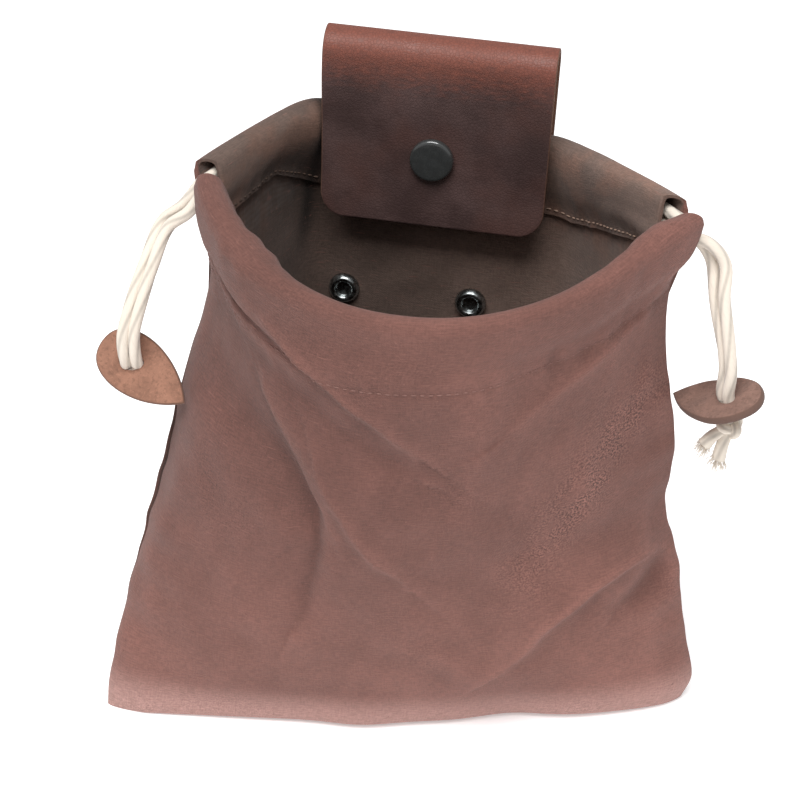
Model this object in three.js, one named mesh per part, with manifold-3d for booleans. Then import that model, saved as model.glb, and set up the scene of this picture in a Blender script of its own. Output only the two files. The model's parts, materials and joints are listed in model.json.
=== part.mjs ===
// A drawstring pouch of waxed canvas that hangs on a belt by a leather loop, standing with its mouth open.
// Millimetres, +Z up. The front faces -Y, and the belt runs along X through the leather loop at the back.

import * as THREE from "three";
import { mergeVertices } from "three/addons/utils/BufferGeometryUtils.js";
import Module from "manifold-3d";

const wasm = await Module();
wasm.setup();

// Rows of a table as objects with its columns' names
function named(columns, rows) {
  return rows.map((row) => Object.fromEntries(columns.map((name, k) => [name, row[k]])));
}

// Canvas bag
const RIM = 204;             // height of the rim where it meets the side seams
const CANVAS = 1.4;          // thickness of the cloth
const FRONT_SINK = 13.6;     // the middle of the front rim hangs this much below the seams
const BACK_SINK = 2;         // and the middle of the back rim
const BACK_TILT = 0.1;       // the back rim runs down to the right by this slope
const EDGE = 6;              // height over which the wall rounds into the bottom
const FRONT_TUCK = 0.3;      // share of the front wall's depth that the rounding takes away at the floor
const BACK_TUCK = 0.04;      // and of the back wall's
const CORNER_INSET = 1.2;    // how much faster an inner layer pulls in at the seams than in the middle
const FLAT_INSET = 0.6;      // how much an inner layer's flat of the back wall is shorter at each end
const BACK_SHORT = 1.1;      // the back casing ends this many slit widths short of the front one
const BEND = 5;              // run to each side over which the back wall bends from its flat into its sides
const HALF_CLOTH = 107;      // half of the cloth's width, the scale of the folds' across column

// The bag at rising heights of its side seams. The seams stand at (leftX, leftY) and (rightX, rightY).
// The front wall stands out by front, rounder where point is small. The back wall is flat at backY over
// twice flat. Where the seams end, the walls part by slit to each side.
const SECTIONS = named(
  ["height", "leftX", "leftY", "rightX", "rightY", "front", "point", "backY", "flat", "slit"],
  [
    [0, -106.5, -31.5, 98, 5.5, 19, 1.15, 41, 34, 0.15],
    [10, -105, -29.8, 101, 5.1, 20, 1.2, 42.5, 35, 0.15],
    [26, -101, -27, 98.3, 4.4, 24, 1.27, 44, 36, 0.15],
    [50, -95.7, -23, 93.8, 3.4, 30, 1.38, 45.2, 38, 0.15],
    [75, -89.6, -18.7, 88.3, 2.3, 36, 1.5, 45.8, 41, 0.15],
    [100, -83.6, -14.5, 88.8, 1.2, 42, 1.6, 46.5, 45, 0.15],
    [125, -77.8, -10.2, 86.3, 0.2, 47, 1.7, 48.9, 46, 0.15],
    [150, -69.8, -6, 84, -0.9, 51.5, 1.7, 51.5, 46, 0.15],
    [170, -68, -2.6, 83.2, -1.7, 54.5, 1.7, 53.6, 46, 0.4],
    [185, -70, 0, 87, -2.4, 56.5, 1.7, 55.2, 46, 3.2],
    [204, -72, 3.2, 91, -3.2, 58, 1.7, 57.2, 46, 5.5],
  ],
);

// Folds of the front wall: each runs from (fromAcross, fromUp) by (viaAcross, viaUp) to (toAcross, toUp)
// and lifts the cloth by lift, fading over width to both sides.
const FOLDS = named(
  ["fromAcross", "fromUp", "viaAcross", "viaUp", "toAcross", "toUp", "lift", "width"],
  [
    [-80, 182, -34, 183, 10, 146, 3, 10],
    [-84, 170, -38, 170, 2, 134, -3, 12],
    [-96, 146, -54, 150, -32, 116, -4, 12],
    [-50, 152, -26, 124, 2, 78, 2.5, 12],
    [-33, 112, -36, 80, -41, 36, -3, 13],
    [8, 172, 6, 138, 4, 92, -2, 16],
    [98, 172, 66, 172, 38, 156, 2, 11],
    [100, 77, 76, 64, 40, 36, 4, 12],
    [103, 63, 92, 60, 74, 48, -4, 9],
  ],
);
const FLOOR_RUN = 12;        // length that stands for the bottom in a wall's unrolled profile
const FOLD_STEPS = 12;       // pieces that a fold's line is measured in

// Hem casings: the profile of the folded rim, as how far below the rim and how far inside the outer face
const CASING = 7.8;
const HEM_PROFILE = [
  { below: 4, inset: 0 },
  { below: 1.2, inset: 1.1 },
  { below: 0, inset: 3.9 },
  { below: 1.2, inset: 6.7 },
  { below: 4, inset: CASING },
  { below: 13, inset: CASING },
  { below: 20, inset: 7.2 },
  { below: 25, inset: 4.8 },
  { below: 28, inset: 2 * CANVAS },
  { below: 30, inset: 2 * CANVAS },
  { below: 30, inset: CANVAS },
];
const CHANNEL_PROFILE = [
  { below: 4, inset: CANVAS },
  { below: 2, inset: 2.2 },
  { below: 1.4, inset: 3.9 },
  { below: 2, inset: 5.6 },
  { below: 4, inset: CASING - CANVAS },
  { below: 13, inset: CASING - CANVAS },
  { below: 19.5, inset: 5.8 },
  { below: 23.5, inset: 3.8 },
  { below: 26, inset: 1.8 },
  { below: 25, inset: CANVAS },
  { below: 14, inset: CANVAS },
];
const OUTER_HEIGHTS = [
  0, 0.8, 2.6, 6, 15, 27, 39, 51, 63, 75, 87, 99, 111, 123, 135, 147, 159, 170, 180, 190,
];
const INNER_HEIGHTS = [159, 145, 130, 115, 97, 79, 61, 43, 27, 14, 6, 2.6, CANVAS];

// Leather belt loop, measured from the middle of the back rim along the leaning wall
const LEATHER = 1.9;
const STRAP_WIDTH = 78.4;
const STRAP_BOTTOM = -86;    // lower end of the strap behind the wall
const FLAP_BOTTOM = -36;     // lower end of the flap inside the mouth
const LOOP_TOP = 29.5;       // top of the fold
const FLAP_STAND = 3.4;      // space between the casing and the flap, filled by the snap
const STRAP_CORNER = 9;
const LEAN = THREE.MathUtils.degToRad(6);
const ROLL = THREE.MathUtils.degToRad(2.4);
const GAP = 0.3;
const RING_GAP = 0.5;

// Snaps, on the strap's own measure
const SNAP_AT = { across: 0, up: -11.5 };
const RINGS_AT = { left: { across: -29.3, up: -69 }, right: { across: 15.7, up: -69 } };
const POST = 1.5;
const HOLE = 2.1;
const CAP = 7.5;
const RING = 5.5;

// Cords, toggles and knots
const CORD = 3.4;
const CORD_STEPS = 80;
const LANES = { drawcord_left: 6.5, drawcord_right: 16.2 }; // how far below the rim each cord runs
const LANE_INSET = { drawcord_left: 3.9, drawcord_right: 3.75 };
const STRAND_STEP = 1.9;     // from the middle of a toggle's hole to each of the two strands in it
const LEAF_LENGTH = 36.5;
const LEAF_WIDTH = 22;
const LEAF_THICK = 2.8;
const LEAF_HOLE = { long: 4.9, short: 3 }; // half sizes of the oval hole that both strands go through
const KNOT = 4.6;

const canvasLook = { color: 0x85625a, roughness: 0.9, metalness: 0 };
const leatherLook = { color: 0x5a3a33, roughness: 0.45, metalness: 0 };
const snapLook = { color: 0x1c1c1e, roughness: 0.3, metalness: 0.8 };
const cordLook = { color: 0xece2d6, roughness: 0.95, metalness: 0 };
const toggleLook = { color: 0xb1846f, roughness: 0.85, metalness: 0 };

function material(look) {
  return new THREE.MeshStandardMaterial(look);
}

function namedMesh(name, geometry, look) {
  const mesh = new THREE.Mesh(geometry, material(look));
  mesh.name = name;
  return mesh;
}

// Geometry from points and triangles, with coincident points joined and empty triangles left out
function solid(points, triangles) {
  const loose = new THREE.BufferGeometry();
  loose.setAttribute("position", new THREE.Float32BufferAttribute(points.flatMap((p) => [p.x, p.y, p.z]), 3));
  loose.setIndex(triangles.flat());
  const joined = mergeVertices(loose, 1e-3);
  const index = joined.getIndex().array;
  const kept = [];
  for (let i = 0; i < index.length; i += 3) {
    const [a, b, c] = [index[i], index[i + 1], index[i + 2]];
    if (a !== b && b !== c && c !== a) {
      kept.push(a, b, c);
    }
  }
  joined.setIndex(kept);
  joined.computeVertexNormals();
  return joined;
}

function toManifold(geometry) {
  const bare = geometry.clone();
  bare.deleteAttribute("normal");
  bare.deleteAttribute("uv");
  const joined = mergeVertices(bare, 1e-4);
  const vertProperties = new Float32Array(joined.getAttribute("position").array);
  const triVerts = new Uint32Array(joined.getIndex().array);
  return new wasm.Manifold(new wasm.Mesh({ numProp: 3, vertProperties, triVerts }));
}

function fromManifold(manifold) {
  const { vertProperties, triVerts } = manifold.getMesh();
  const geometry = new THREE.BufferGeometry();
  geometry.setAttribute("position", new THREE.Float32BufferAttribute(vertProperties, 3));
  geometry.setIndex(Array.from(triVerts));
  geometry.computeVertexNormals();
  return geometry;
}

function cutHoles(geometry, cutters) {
  const whole = toManifold(geometry);
  return fromManifold(cutters.reduce((rest, cutter) => rest.subtract(toManifold(cutter)), whole));
}

function joinAll(geometries) {
  return fromManifold(geometries.map(toManifold).reduce((all, one) => all.add(one)));
}

// Smooth value of one column of the section table at a height
function column(name, height) {
  const last = SECTIONS.length - 1;
  let i = SECTIONS.findIndex((row) => row.height > height) - 1;
  if (i < 0) {
    i = height <= 0 ? 0 : last - 1;
  }
  const slope = (k) => {
    const low = SECTIONS[Math.max(k - 1, 0)];
    const high = SECTIONS[Math.min(k + 1, last)];
    return (high[name] - low[name]) / (high.height - low.height);
  };
  const [a, b] = [SECTIONS[i], SECTIONS[i + 1]];
  const run = b.height - a.height;
  const t = (height - a.height) / run;
  const ease = t * t * (3 - 2 * t);
  const leave = t * (1 - t) * (1 - t) * run * slope(i);
  const arrive = t * t * (t - 1) * run * slope(i + 1);
  return a[name] + (b[name] - a[name]) * ease + leave + arrive;
}

function edgeShare(side, height) {
  if (height >= EDGE) {
    return 1;
  }
  const t = 1 - height / EDGE;
  const tuck = side < 0 ? FRONT_TUCK : BACK_TUCK;
  return 1 - tuck * (1 - Math.sqrt(1 - t * t));
}

// How far the folds lift the front wall, fading towards its seams, rim and floor
const foldLines = FOLDS.map((fold) => ({
  ...fold,
  line: new THREE.QuadraticBezierCurve(
    new THREE.Vector2(fold.fromAcross, fold.fromUp),
    new THREE.Vector2(fold.viaAcross, fold.viaUp),
    new THREE.Vector2(fold.toAcross, fold.toUp),
  ).getPoints(FOLD_STEPS),
}));

function foldLift(across, up) {
  let lift = 0;
  for (const fold of foldLines) {
    let nearest = Infinity;
    let along = 0;
    fold.line.forEach((point, k) => {
      const distance = Math.hypot(point.x - across, point.y - up);
      if (distance < nearest) {
        nearest = distance;
        along = k / FOLD_STEPS;
      }
    });
    const fade = Math.sin(Math.PI * (0.12 + 0.76 * along));
    lift += fold.lift * fade * Math.exp(-((nearest / fold.width) ** 2));
  }
  const seamFade = THREE.MathUtils.smoothstep(HALF_CLOTH - Math.abs(across), 0, 12);
  const endFade = THREE.MathUtils.smoothstep(up, 4, 24) * THREE.MathUtils.smoothstep(RIM - up, 16, 34);
  return lift * seamFade * endFade;
}

// One level of a wall, evenly spaced along the cloth from the left seam to the right one.
// side is -1 for the front and 1 for the back, inset is how far the layer lies inside the outer face.
function level(side, height, inset, shares) {
  const row = (name) => column(name, height);
  const slit = row("slit");
  const short = side > 0 ? BACK_SHORT * (slit - SECTIONS[0].slit) : 0;
  const left = row("leftX") + CORNER_INSET * inset;
  const right = row("rightX") - CORNER_INSET * inset - short;
  const middle = (left + right) / 2;
  const half = (right - left) / 2;
  const upward = Math.min(1, height / 120);
  const skew = side < 0 ? THREE.MathUtils.lerp(0.16, -0.06, Math.min(1, height / 60)) : 0;
  const raw = [];
  const steps = 160;
  for (let k = 0; k <= steps; k += 1) {
    const angle = Math.PI * (k / steps - 0.5);
    const sine = Math.sin(angle);
    const cosine = Math.max(0, Math.cos(angle));
    const x = middle + half * (sine + skew * cosine * cosine);
    const share = (x - row("leftX")) / (row("rightX") - row("leftX"));
    const seamY = THREE.MathUtils.lerp(row("leftY"), row("rightY"), share);
    const sag = 1 - Math.abs(sine) ** 2.5;
    if (side < 0) {
      const bulge = cosine ** (row("point") + 0.3 * sine * upward);
      const y = seamY - slit - ((row("front") - slit) * edgeShare(side, height) - inset) * bulge;
      raw.push(new THREE.Vector3(x, y, height - (FRONT_SINK * height * sag) / RIM));
    } else {
      const rise = backShare(x, left, right, row("flat") - FLAT_INSET * inset);
      const y = seamY + slit + ((row("backY") - seamY - slit) * edgeShare(side, height) - inset) * rise;
      const tilt = BACK_TILT * x * (1 - sine * sine);
      raw.push(new THREE.Vector3(x, y, height - ((BACK_SINK * sag + tilt) * height) / RIM));
    }
  }
  return shares.map((share) => alongLine(raw, share));
}

// Rises from 0 at each seam to 1 over the flat of the back wall, with soft bends
function backShare(x, left, right, flat) {
  const onLeft = x < (left + right) / 2;
  const run = onLeft ? -flat - left : right - flat;
  const ramp = (onLeft ? x - left : right - x) / run;
  const bend = BEND / run;
  if (ramp > 1 + bend) {
    return 1;
  }
  const past = Math.max(0, ramp - 1 + bend);
  return ramp - (past * past) / (4 * bend);
}

function alongLine(points, share) {
  const lengths = [0];
  for (let k = 1; k < points.length; k += 1) {
    lengths.push(lengths[k - 1] + points[k].distanceTo(points[k - 1]));
  }
  const target = share * lengths.at(-1);
  let k = lengths.findIndex((length) => length >= target);
  k = Math.max(k, 1);
  const t = (target - lengths[k - 1]) / (lengths[k] - lengths[k - 1]);
  return points[k - 1].clone().lerp(points[k], t);
}

// A level of the front wall with its folds, pushed out square to the cloth
function wallLevel(side, height, inset, shares) {
  const points = level(side, height, inset, shares);
  if (side > 0) {
    return points;
  }
  return points.map((point, k) => {
    const before = points[Math.max(k - 1, 0)];
    const after = points[Math.min(k + 1, points.length - 1)];
    const tangent = after.clone().sub(before).setZ(0).normalize();
    const across = HALF_CLOTH * (2 * shares[k] - 1);
    const outward = new THREE.Vector3(tangent.y, -tangent.x, 0);
    return point.clone().addScaledVector(outward, foldLift(across, height));
  });
}

// A level of the bottom: share 0 lies along the bottom seam, share 1 under the foot of the wall
function floorLevel(side, share, z, inset, shares) {
  const foot = level(side, z, inset, shares);
  return foot.map((point) => {
    const { leftX, leftY, rightX, rightY, slit } = SECTIONS[0];
    const along = (point.x - leftX) / (rightX - leftX);
    const seamY = THREE.MathUtils.lerp(leftY, rightY, along) + side * slit;
    return new THREE.Vector3(point.x, THREE.MathUtils.lerp(seamY, point.y, share), z);
  });
}

// Shares of the cloth's width at a wall's columns, closer together at the seams and, behind, at the two bends
const COLUMN_SHARES = {
  front: [0, 0.03, 0.07, 0.11, 0.15, 0.19, 0.23, 0.27, 0.31, 0.35, 0.39, 0.43, 0.47,
    0.51, 0.55, 0.59, 0.63, 0.67, 0.71, 0.75, 0.79, 0.83, 0.88, 0.93, 0.97, 1],
  back: [0, 0.04, 0.09, 0.14, 0.18, 0.21, 0.235, 0.255, 0.275, 0.3, 0.33, 0.38, 0.44,
    0.5, 0.56, 0.61, 0.64, 0.66, 0.68, 0.7, 0.725, 0.76, 0.81, 0.87, 0.94, 1],
};

function columnShares(side) {
  return side < 0 ? COLUMN_SHARES.front : COLUMN_SHARES.back;
}

// One canvas wall: its half of the bottom, the wall, the rim folded inwards and the casing's open channel
function panel(side) {
  const shares = columnShares(side);
  const hem = ({ below, inset }) => ({
    row: wallLevel(side, RIM - below, inset, shares),
    flat: new THREE.Vector2(RIM - below, inset),
  });
  const outline = [];
  for (const share of [0, 0.5]) {
    const flat = new THREE.Vector2(FLOOR_RUN * (share - 1), 0);
    outline.push({ row: floorLevel(side, share, 0, 0, shares), flat });
  }
  for (const height of OUTER_HEIGHTS) {
    outline.push({ row: wallLevel(side, height, 0, shares), flat: new THREE.Vector2(height, 0) });
  }
  outline.push(...HEM_PROFILE.map(hem));
  for (const height of INNER_HEIGHTS) {
    outline.push({ row: wallLevel(side, height, CANVAS, shares), flat: new THREE.Vector2(height, CANVAS) });
  }
  for (const share of [0.5, 0]) {
    const flat = new THREE.Vector2(FLOOR_RUN * (share - 1), CANVAS);
    outline.push({ row: floorLevel(side, share, CANVAS, CANVAS, shares), flat });
  }
  return loft([outline, CHANNEL_PROFILE.map(hem)], side);
}

// Skin between the columns of an outline and of the hole in it, closed by a cap at each end
function loft([outline, hole], side) {
  const points = [];
  const triangles = [];
  const columns = outline[0].row.length;
  const rings = [outline, hole].map((ring) => ring.map(({ row }) => {
    const first = points.length;
    points.push(...row);
    return first;
  }));
  const add = (a, b, c) => triangles.push(side < 0 ? [a, b, c] : [a, c, b]);
  const clockwise = [outline, hole].map((ring) => THREE.ShapeUtils.isClockWise(ring.map(({ flat }) => flat)));
  rings.forEach((ring, which) => {
    const inward = which === 1;
    ring.forEach((first, k) => {
      const next = ring[(k + 1) % ring.length];
      for (let c = 0; c + 1 < columns; c += 1) {
        const quad = [first + c, next + c, next + c + 1, first + c + 1];
        const flip = clockwise[which] !== inward;
        const [p, q, r, s] = flip ? [quad[0], quad[3], quad[2], quad[1]] : quad;
        add(p, r, q);
        add(p, s, r);
      }
    });
  });
  const order = (ring, which, wanted) => (clockwise[which] === wanted ? ring : [...ring].reverse());
  const outer = order(rings[0], 0, false);
  const inner = order(rings[1], 1, true);
  const flatOf = new Map();
  rings[0].forEach((first, k) => flatOf.set(first, outline[k].flat));
  rings[1].forEach((first, k) => flatOf.set(first, hole[k].flat));
  const corners = [...outer, ...inner];
  const flats = (ring) => ring.map((first) => flatOf.get(first));
  const faces = THREE.ShapeUtils.triangulateShape(flats(outer), [flats(inner)]);
  for (const [a, b, c] of faces) {
    const [p, q, r] = [corners[a], corners[b], corners[c]];
    add(p, q, r);
    add(p + columns - 1, r + columns - 1, q + columns - 1);
  }
  return solid(points, triangles);
}

// The leather strip's path in its own upright plane: up behind the wall, over, and down as the flap
function strapPath() {
  const back = GAP + LEATHER / 2;
  const front = -(CASING + FLAP_STAND + LEATHER / 2);
  const radius = (back - front) / 2;
  const top = LOOP_TOP - LEATHER / 2 - radius;
  const centre = (back + front) / 2;
  const stations = [];
  for (const up of spread(STRAP_BOTTOM, top, 12)) {
    stations.push({ up, y: back, normal: new THREE.Vector2(1, 0), toEnd: up - STRAP_BOTTOM });
  }
  for (let k = 1; k < 12; k += 1) {
    const angle = (Math.PI * k) / 12;
    const normal = new THREE.Vector2(Math.cos(angle), Math.sin(angle));
    const up = top + radius * normal.y;
    stations.push({ up, y: centre + radius * normal.x, normal, toEnd: STRAP_CORNER });
  }
  for (const up of spread(FLAP_BOTTOM, top, 12).reverse()) {
    stations.push({ up, y: front, normal: new THREE.Vector2(-1, 0), toEnd: up - FLAP_BOTTOM });
  }
  return stations;
}

// Steps from an end upwards, closer together over the rounded corner
function spread(from, to, steps) {
  const corner = [0, 0.03, 0.12, 0.3, 0.6, 1].map((share) => from + share * STRAP_CORNER);
  const rest = steps - corner.length;
  const after = corner.at(-1);
  for (let k = 1; k <= rest; k += 1) {
    corner.push(after + ((to - after) * k) / rest);
  }
  return corner;
}

function strapSolid() {
  const points = [];
  const triangles = [];
  const stations = strapPath();
  for (const { up, y, normal, toEnd } of stations) {
    const t = 1 - Math.min(1, toEnd / STRAP_CORNER);
    const half = STRAP_WIDTH / 2 - STRAP_CORNER * (1 - Math.sqrt(1 - t * t));
    for (const [x, out] of [[-half, 0.5], [half, 0.5], [half, -0.5], [-half, -0.5]]) {
      points.push(new THREE.Vector3(x, y + normal.x * out * LEATHER, up + normal.y * out * LEATHER));
    }
  }
  for (let k = 0; k + 1 < stations.length; k += 1) {
    for (let c = 0; c < 4; c += 1) {
      const [a, b] = [4 * k + c, 4 * k + ((c + 1) % 4)];
      triangles.push([a, a + 4, b + 4], [a, b + 4, b]);
    }
  }
  const last = 4 * (stations.length - 1);
  triangles.push([0, 1, 2], [0, 2, 3], [last, last + 2, last + 1], [last, last + 3, last + 2]);
  return solid(points, triangles);
}

// Turned piece whose profile rows give a radius and a place along the strap's own +Y
function turned(profile, at, segments = 14) {
  const geometry = new THREE.LatheGeometry(profile.map(({ r, y }) => new THREE.Vector2(r, y)), segments);
  geometry.translate(at.across, 0, 0);
  geometry.translate(0, 0, at.up);
  return geometry;
}

function drill(at) {
  const geometry = new THREE.CylinderGeometry(HOLE, HOLE, 60, 16);
  geometry.translate(at.across, 0, at.up);
  return geometry;
}

const FLAP_BACK = -(CASING + FLAP_STAND);
const FLAP_FRONT = FLAP_BACK - LEATHER;
const STRAP_BACK = GAP + LEATHER;

// Domed cap in front of the flap, neck through it and a socket behind it
const capProfile = [
  { r: 0, y: FLAP_FRONT - GAP - 2.4 },
  { r: 3.6, y: FLAP_FRONT - GAP - 2.2 },
  { r: 6.2, y: FLAP_FRONT - GAP - 1.5 },
  { r: CAP, y: FLAP_FRONT - GAP - 0.5 },
  { r: CAP, y: FLAP_FRONT - GAP },
  { r: POST, y: FLAP_FRONT - GAP },
  { r: POST, y: FLAP_BACK + GAP },
  { r: RING, y: FLAP_BACK + GAP },
  { r: RING, y: FLAP_BACK + 0.8 },
  { r: 4, y: FLAP_BACK + 1.8 },
  { r: 2.9, y: FLAP_BACK + 1.8 },
  { r: 2.9, y: FLAP_BACK + 0.7 },
  { r: 0, y: FLAP_BACK + 0.7 },
];

// Stud that the socket takes, its post through the casing and the strap, and a plain cap behind
const studProfile = [
  { r: 0, y: FLAP_BACK + 1 },
  { r: 2.3, y: FLAP_BACK + 1.1 },
  { r: 2.3, y: -CASING - GAP - 0.6 },
  { r: RING, y: -CASING - GAP - 0.6 },
  { r: RING, y: -CASING - GAP },
  { r: POST, y: -CASING - GAP },
  { r: POST, y: STRAP_BACK + GAP },
  { r: RING, y: STRAP_BACK + GAP },
  { r: RING, y: STRAP_BACK + GAP + 0.4 },
  { r: 3.4, y: STRAP_BACK + GAP + 1 },
  { r: 0, y: STRAP_BACK + GAP + 1.2 },
];

// Ring on the inside of the wall, its hollow, a post through wall and strap and a plain cap behind
const ringProfile = [
  { r: 0, y: -CANVAS - 0.9 },
  { r: 2.8, y: -CANVAS - 0.9 },
  { r: 3.1, y: -CANVAS - 2.4 },
  { r: 4.2, y: -CANVAS - 2.7 },
  { r: RING, y: -CANVAS - 1.4 },
  { r: RING, y: -CANVAS - RING_GAP },
  { r: POST, y: -CANVAS - RING_GAP },
  { r: POST, y: STRAP_BACK + GAP },
  { r: RING, y: STRAP_BACK + GAP },
  { r: RING, y: STRAP_BACK + GAP + 0.4 },
  { r: 3.4, y: STRAP_BACK + GAP + 1 },
  { r: 0, y: STRAP_BACK + GAP + 1.2 },
];

// Places on the cords' loose ends: the strands leave the casing, hang down and end at the knot
const LEFT_TOGGLE = {
  centre: new THREE.Vector3(-88.9, -16.4, 135.9),
  long: new THREE.Vector3(0.853, -0.356, -0.382),
  face: new THREE.Vector3(-0.016, -0.749, 0.663),
  hole: -4.8,
  slant: THREE.MathUtils.degToRad(35), // turn of the hole, which runs from the back strand to the front one
  reach: 14, // how far out the strands swing where they leave the casing
  bow: -1,
  frontRise: -10, // how far each strand rises as it leaves the casing
  backRise: -9,
};
const RIGHT_TOGGLE = {
  centre: new THREE.Vector3(101.2, -9, 139.8),
  long: new THREE.Vector3(-0.745, 0.543, -0.389),
  face: new THREE.Vector3(-0.476, -0.024, 0.879),
  hole: -5.3,
  slant: THREE.MathUtils.degToRad(185),
  reach: 12,
  bow: -1.5,
  frontRise: 4,
  backRise: 4.5,
};

function leafSolid() {
  const [end, wide] = [LEAF_LENGTH / 2, LEAF_WIDTH / 2];
  const shape = new THREE.Shape();
  shape.moveTo(end, 0);
  shape.bezierCurveTo(0.3 * end, 1.25 * wide, -end, 1.25 * wide, -end, 0);
  shape.bezierCurveTo(-end, -1.25 * wide, 0.3 * end, -1.25 * wide, end, 0);
  return shape;
}

function toggleFrame({ centre, long, face }) {
  const x = long.clone().normalize();
  const z = face.clone().addScaledVector(x, -face.dot(x)).normalize();
  const y = z.clone().cross(x);
  return new THREE.Matrix4().makeBasis(x, y, z).setPosition(centre);
}

function toggle(name, place) {
  const shape = leafSolid();
  const hole = new THREE.Path();
  hole.absellipse(place.hole, 0, LEAF_HOLE.long, LEAF_HOLE.short, 0, 2 * Math.PI, true, place.slant);
  shape.holes.push(hole);
  const stretch = { depth: LEAF_THICK, bevelEnabled: false, curveSegments: 12 };
  const geometry = new THREE.ExtrudeGeometry(shape, stretch);
  geometry.translate(0, 0, -LEAF_THICK / 2);
  const mesh = namedMesh(name, geometry, toggleLook);
  mesh.applyMatrix4(toggleFrame(place));
  return mesh;
}

// A place on a toggle's own axes: along the leaf, across it and out of its face
function onToggle(place, along, across, out) {
  return new THREE.Vector3(along, across, out).applyMatrix4(toggleFrame(place));
}

function knotCentre(place) {
  return onToggle(place, place.hole, 0, -LEAF_THICK / 2 - 2).add(new THREE.Vector3(0, 2, -KNOT - 3.5));
}

function knot(name, place, tails) {
  const ball = new THREE.SphereGeometry(KNOT, 12, 8);
  ball.scale(1, 0.85, 1.05);
  const pieces = [ball];
  for (const { x, y, z } of tails) {
    const tail = new THREE.CylinderGeometry(1.5, 2.4, Math.hypot(x, y, z), 8);
    tail.translate(0, Math.hypot(x, y, z) / 2, 0);
    const heading = new THREE.Vector3(x, y, z).normalize();
    const turn = new THREE.Quaternion().setFromUnitVectors(new THREE.Vector3(0, 1, 0), heading);
    tail.applyQuaternion(turn);
    pieces.push(tail);
  }
  const mesh = namedMesh(name, joinAll(pieces), cordLook);
  mesh.position.copy(knotCentre(place));
  return mesh;
}

// Run of a cord inside a casing, a list of places from the left seam to the right one
function casingRun(name, side) {
  return wallLevel(side, RIM - LANES[name], LANE_INSET[name], columnShares(side));
}

// Each cord: from its knot through the toggle, along the front casing, round at the other side,
// back along the back casing and down to the knot again
function cord(name, place, outward) {
  const front = casingRun(name, -1);
  const back = casingRun(name, 1);
  if (outward > 0) {
    front.reverse();
    back.reverse();
  }
  const strand = (step, first, rise) => {
    const [along, across] = [step * Math.cos(place.slant), step * Math.sin(place.slant)];
    const knotTop = onToggle(place, along, across, 0).sub(onToggle(place, 0, 0, 0)).add(knotCentre(place));
    knotTop.z = knotCentre(place).z + 1.05 * KNOT + 0.9;
    const under = onToggle(place, place.hole + along, across, -LEAF_THICK / 2 - 0.5);
    const over = onToggle(place, place.hole + along, across, LEAF_THICK / 2 + 0.5);
    const above = over.clone().add(new THREE.Vector3(0, -0.5, 12));
    const high = first.clone().add(new THREE.Vector3(outward * place.reach, 0, rise - 7));
    const middle = high.clone().lerp(above, 0.5).add(new THREE.Vector3(outward * place.bow, 0, 6));
    const mouth = first.clone().add(new THREE.Vector3(outward * 6.5, 0, rise));
    return [knotTop, under, over, above, middle, high, mouth];
  };
  const frontEnd = front[0].clone().add(new THREE.Vector3(outward * 1.2, 2.3, 0));
  const backEnd = back[0].clone().add(new THREE.Vector3(outward * 1.2, -2.3, 0));
  const route = [
    ...strand(STRAND_STEP, frontEnd, place.frontRise),
    frontEnd,
    ...front,
    ...back.reverse(),
    backEnd,
    ...strand(-STRAND_STEP, backEnd, place.backRise).reverse(),
  ];
  const path = new THREE.CatmullRomCurve3(route, false, "centripetal");
  const round = new THREE.Shape();
  round.absarc(0, 0, CORD / 2, 0, 2 * Math.PI, false);
  const tube = new THREE.ExtrudeGeometry(round, { steps: CORD_STEPS, curveSegments: 4, extrudePath: path });
  return namedMesh(name, tube, cordLook);
}

function build() {
  const loop = new THREE.Group();
  loop.position.set(0, column("backY", RIM), RIM - BACK_SINK);
  loop.rotation.set(-LEAN, ROLL, 0, "XYZ");
  loop.updateMatrix();

  const strap = cutHoles(strapSolid(), [SNAP_AT, RINGS_AT.left, RINGS_AT.right].map(drill));
  loop.add(namedMesh("belt_loop", strap, leatherLook));
  loop.add(namedMesh("snap_cap", turned(capProfile, SNAP_AT), snapLook));
  loop.add(namedMesh("snap_stud", turned(studProfile, SNAP_AT), snapLook));
  loop.add(namedMesh("ring_snap_left", turned(ringProfile, RINGS_AT.left), snapLook));
  loop.add(namedMesh("ring_snap_right", turned(ringProfile, RINGS_AT.right), snapLook));

  const wallHoles = [SNAP_AT, RINGS_AT.left, RINGS_AT.right].map((at) => drill(at).applyMatrix4(loop.matrix));
  const bag = new THREE.Group();
  bag.add(namedMesh("front_panel", panel(-1), canvasLook));
  bag.add(namedMesh("back_panel", cutHoles(panel(1), wallHoles), canvasLook));
  bag.add(loop);

  // The origin lies on the floor in the middle of the box around the bag and its loop
  const middle = new THREE.Box3().setFromObject(bag, true).getCenter(new THREE.Vector3());
  bag.position.set(-middle.x, -middle.y, 0);

  bag.add(cord("drawcord_left", LEFT_TOGGLE, -1));
  bag.add(cord("drawcord_right", RIGHT_TOGGLE, 1));
  bag.add(toggle("toggle_left", LEFT_TOGGLE));
  bag.add(toggle("toggle_right", RIGHT_TOGGLE));
  bag.add(knot("knot_left", LEFT_TOGGLE, [{ x: 6, y: 8, z: -3 }, { x: -2, y: 9, z: -4 }]));
  bag.add(knot("knot_right", RIGHT_TOGGLE, [{ x: -8, y: -2, z: -7 }, { x: -3, y: -2, z: -12 }]));
  return bag;
}

export default build();
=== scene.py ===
"""A drawstring belt pouch of waxed canvas with a snapped leather loop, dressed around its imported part.

Metres, +Z up. The front of the pouch faces -Y, and a belt runs along X through the loop at the back.
"""

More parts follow.
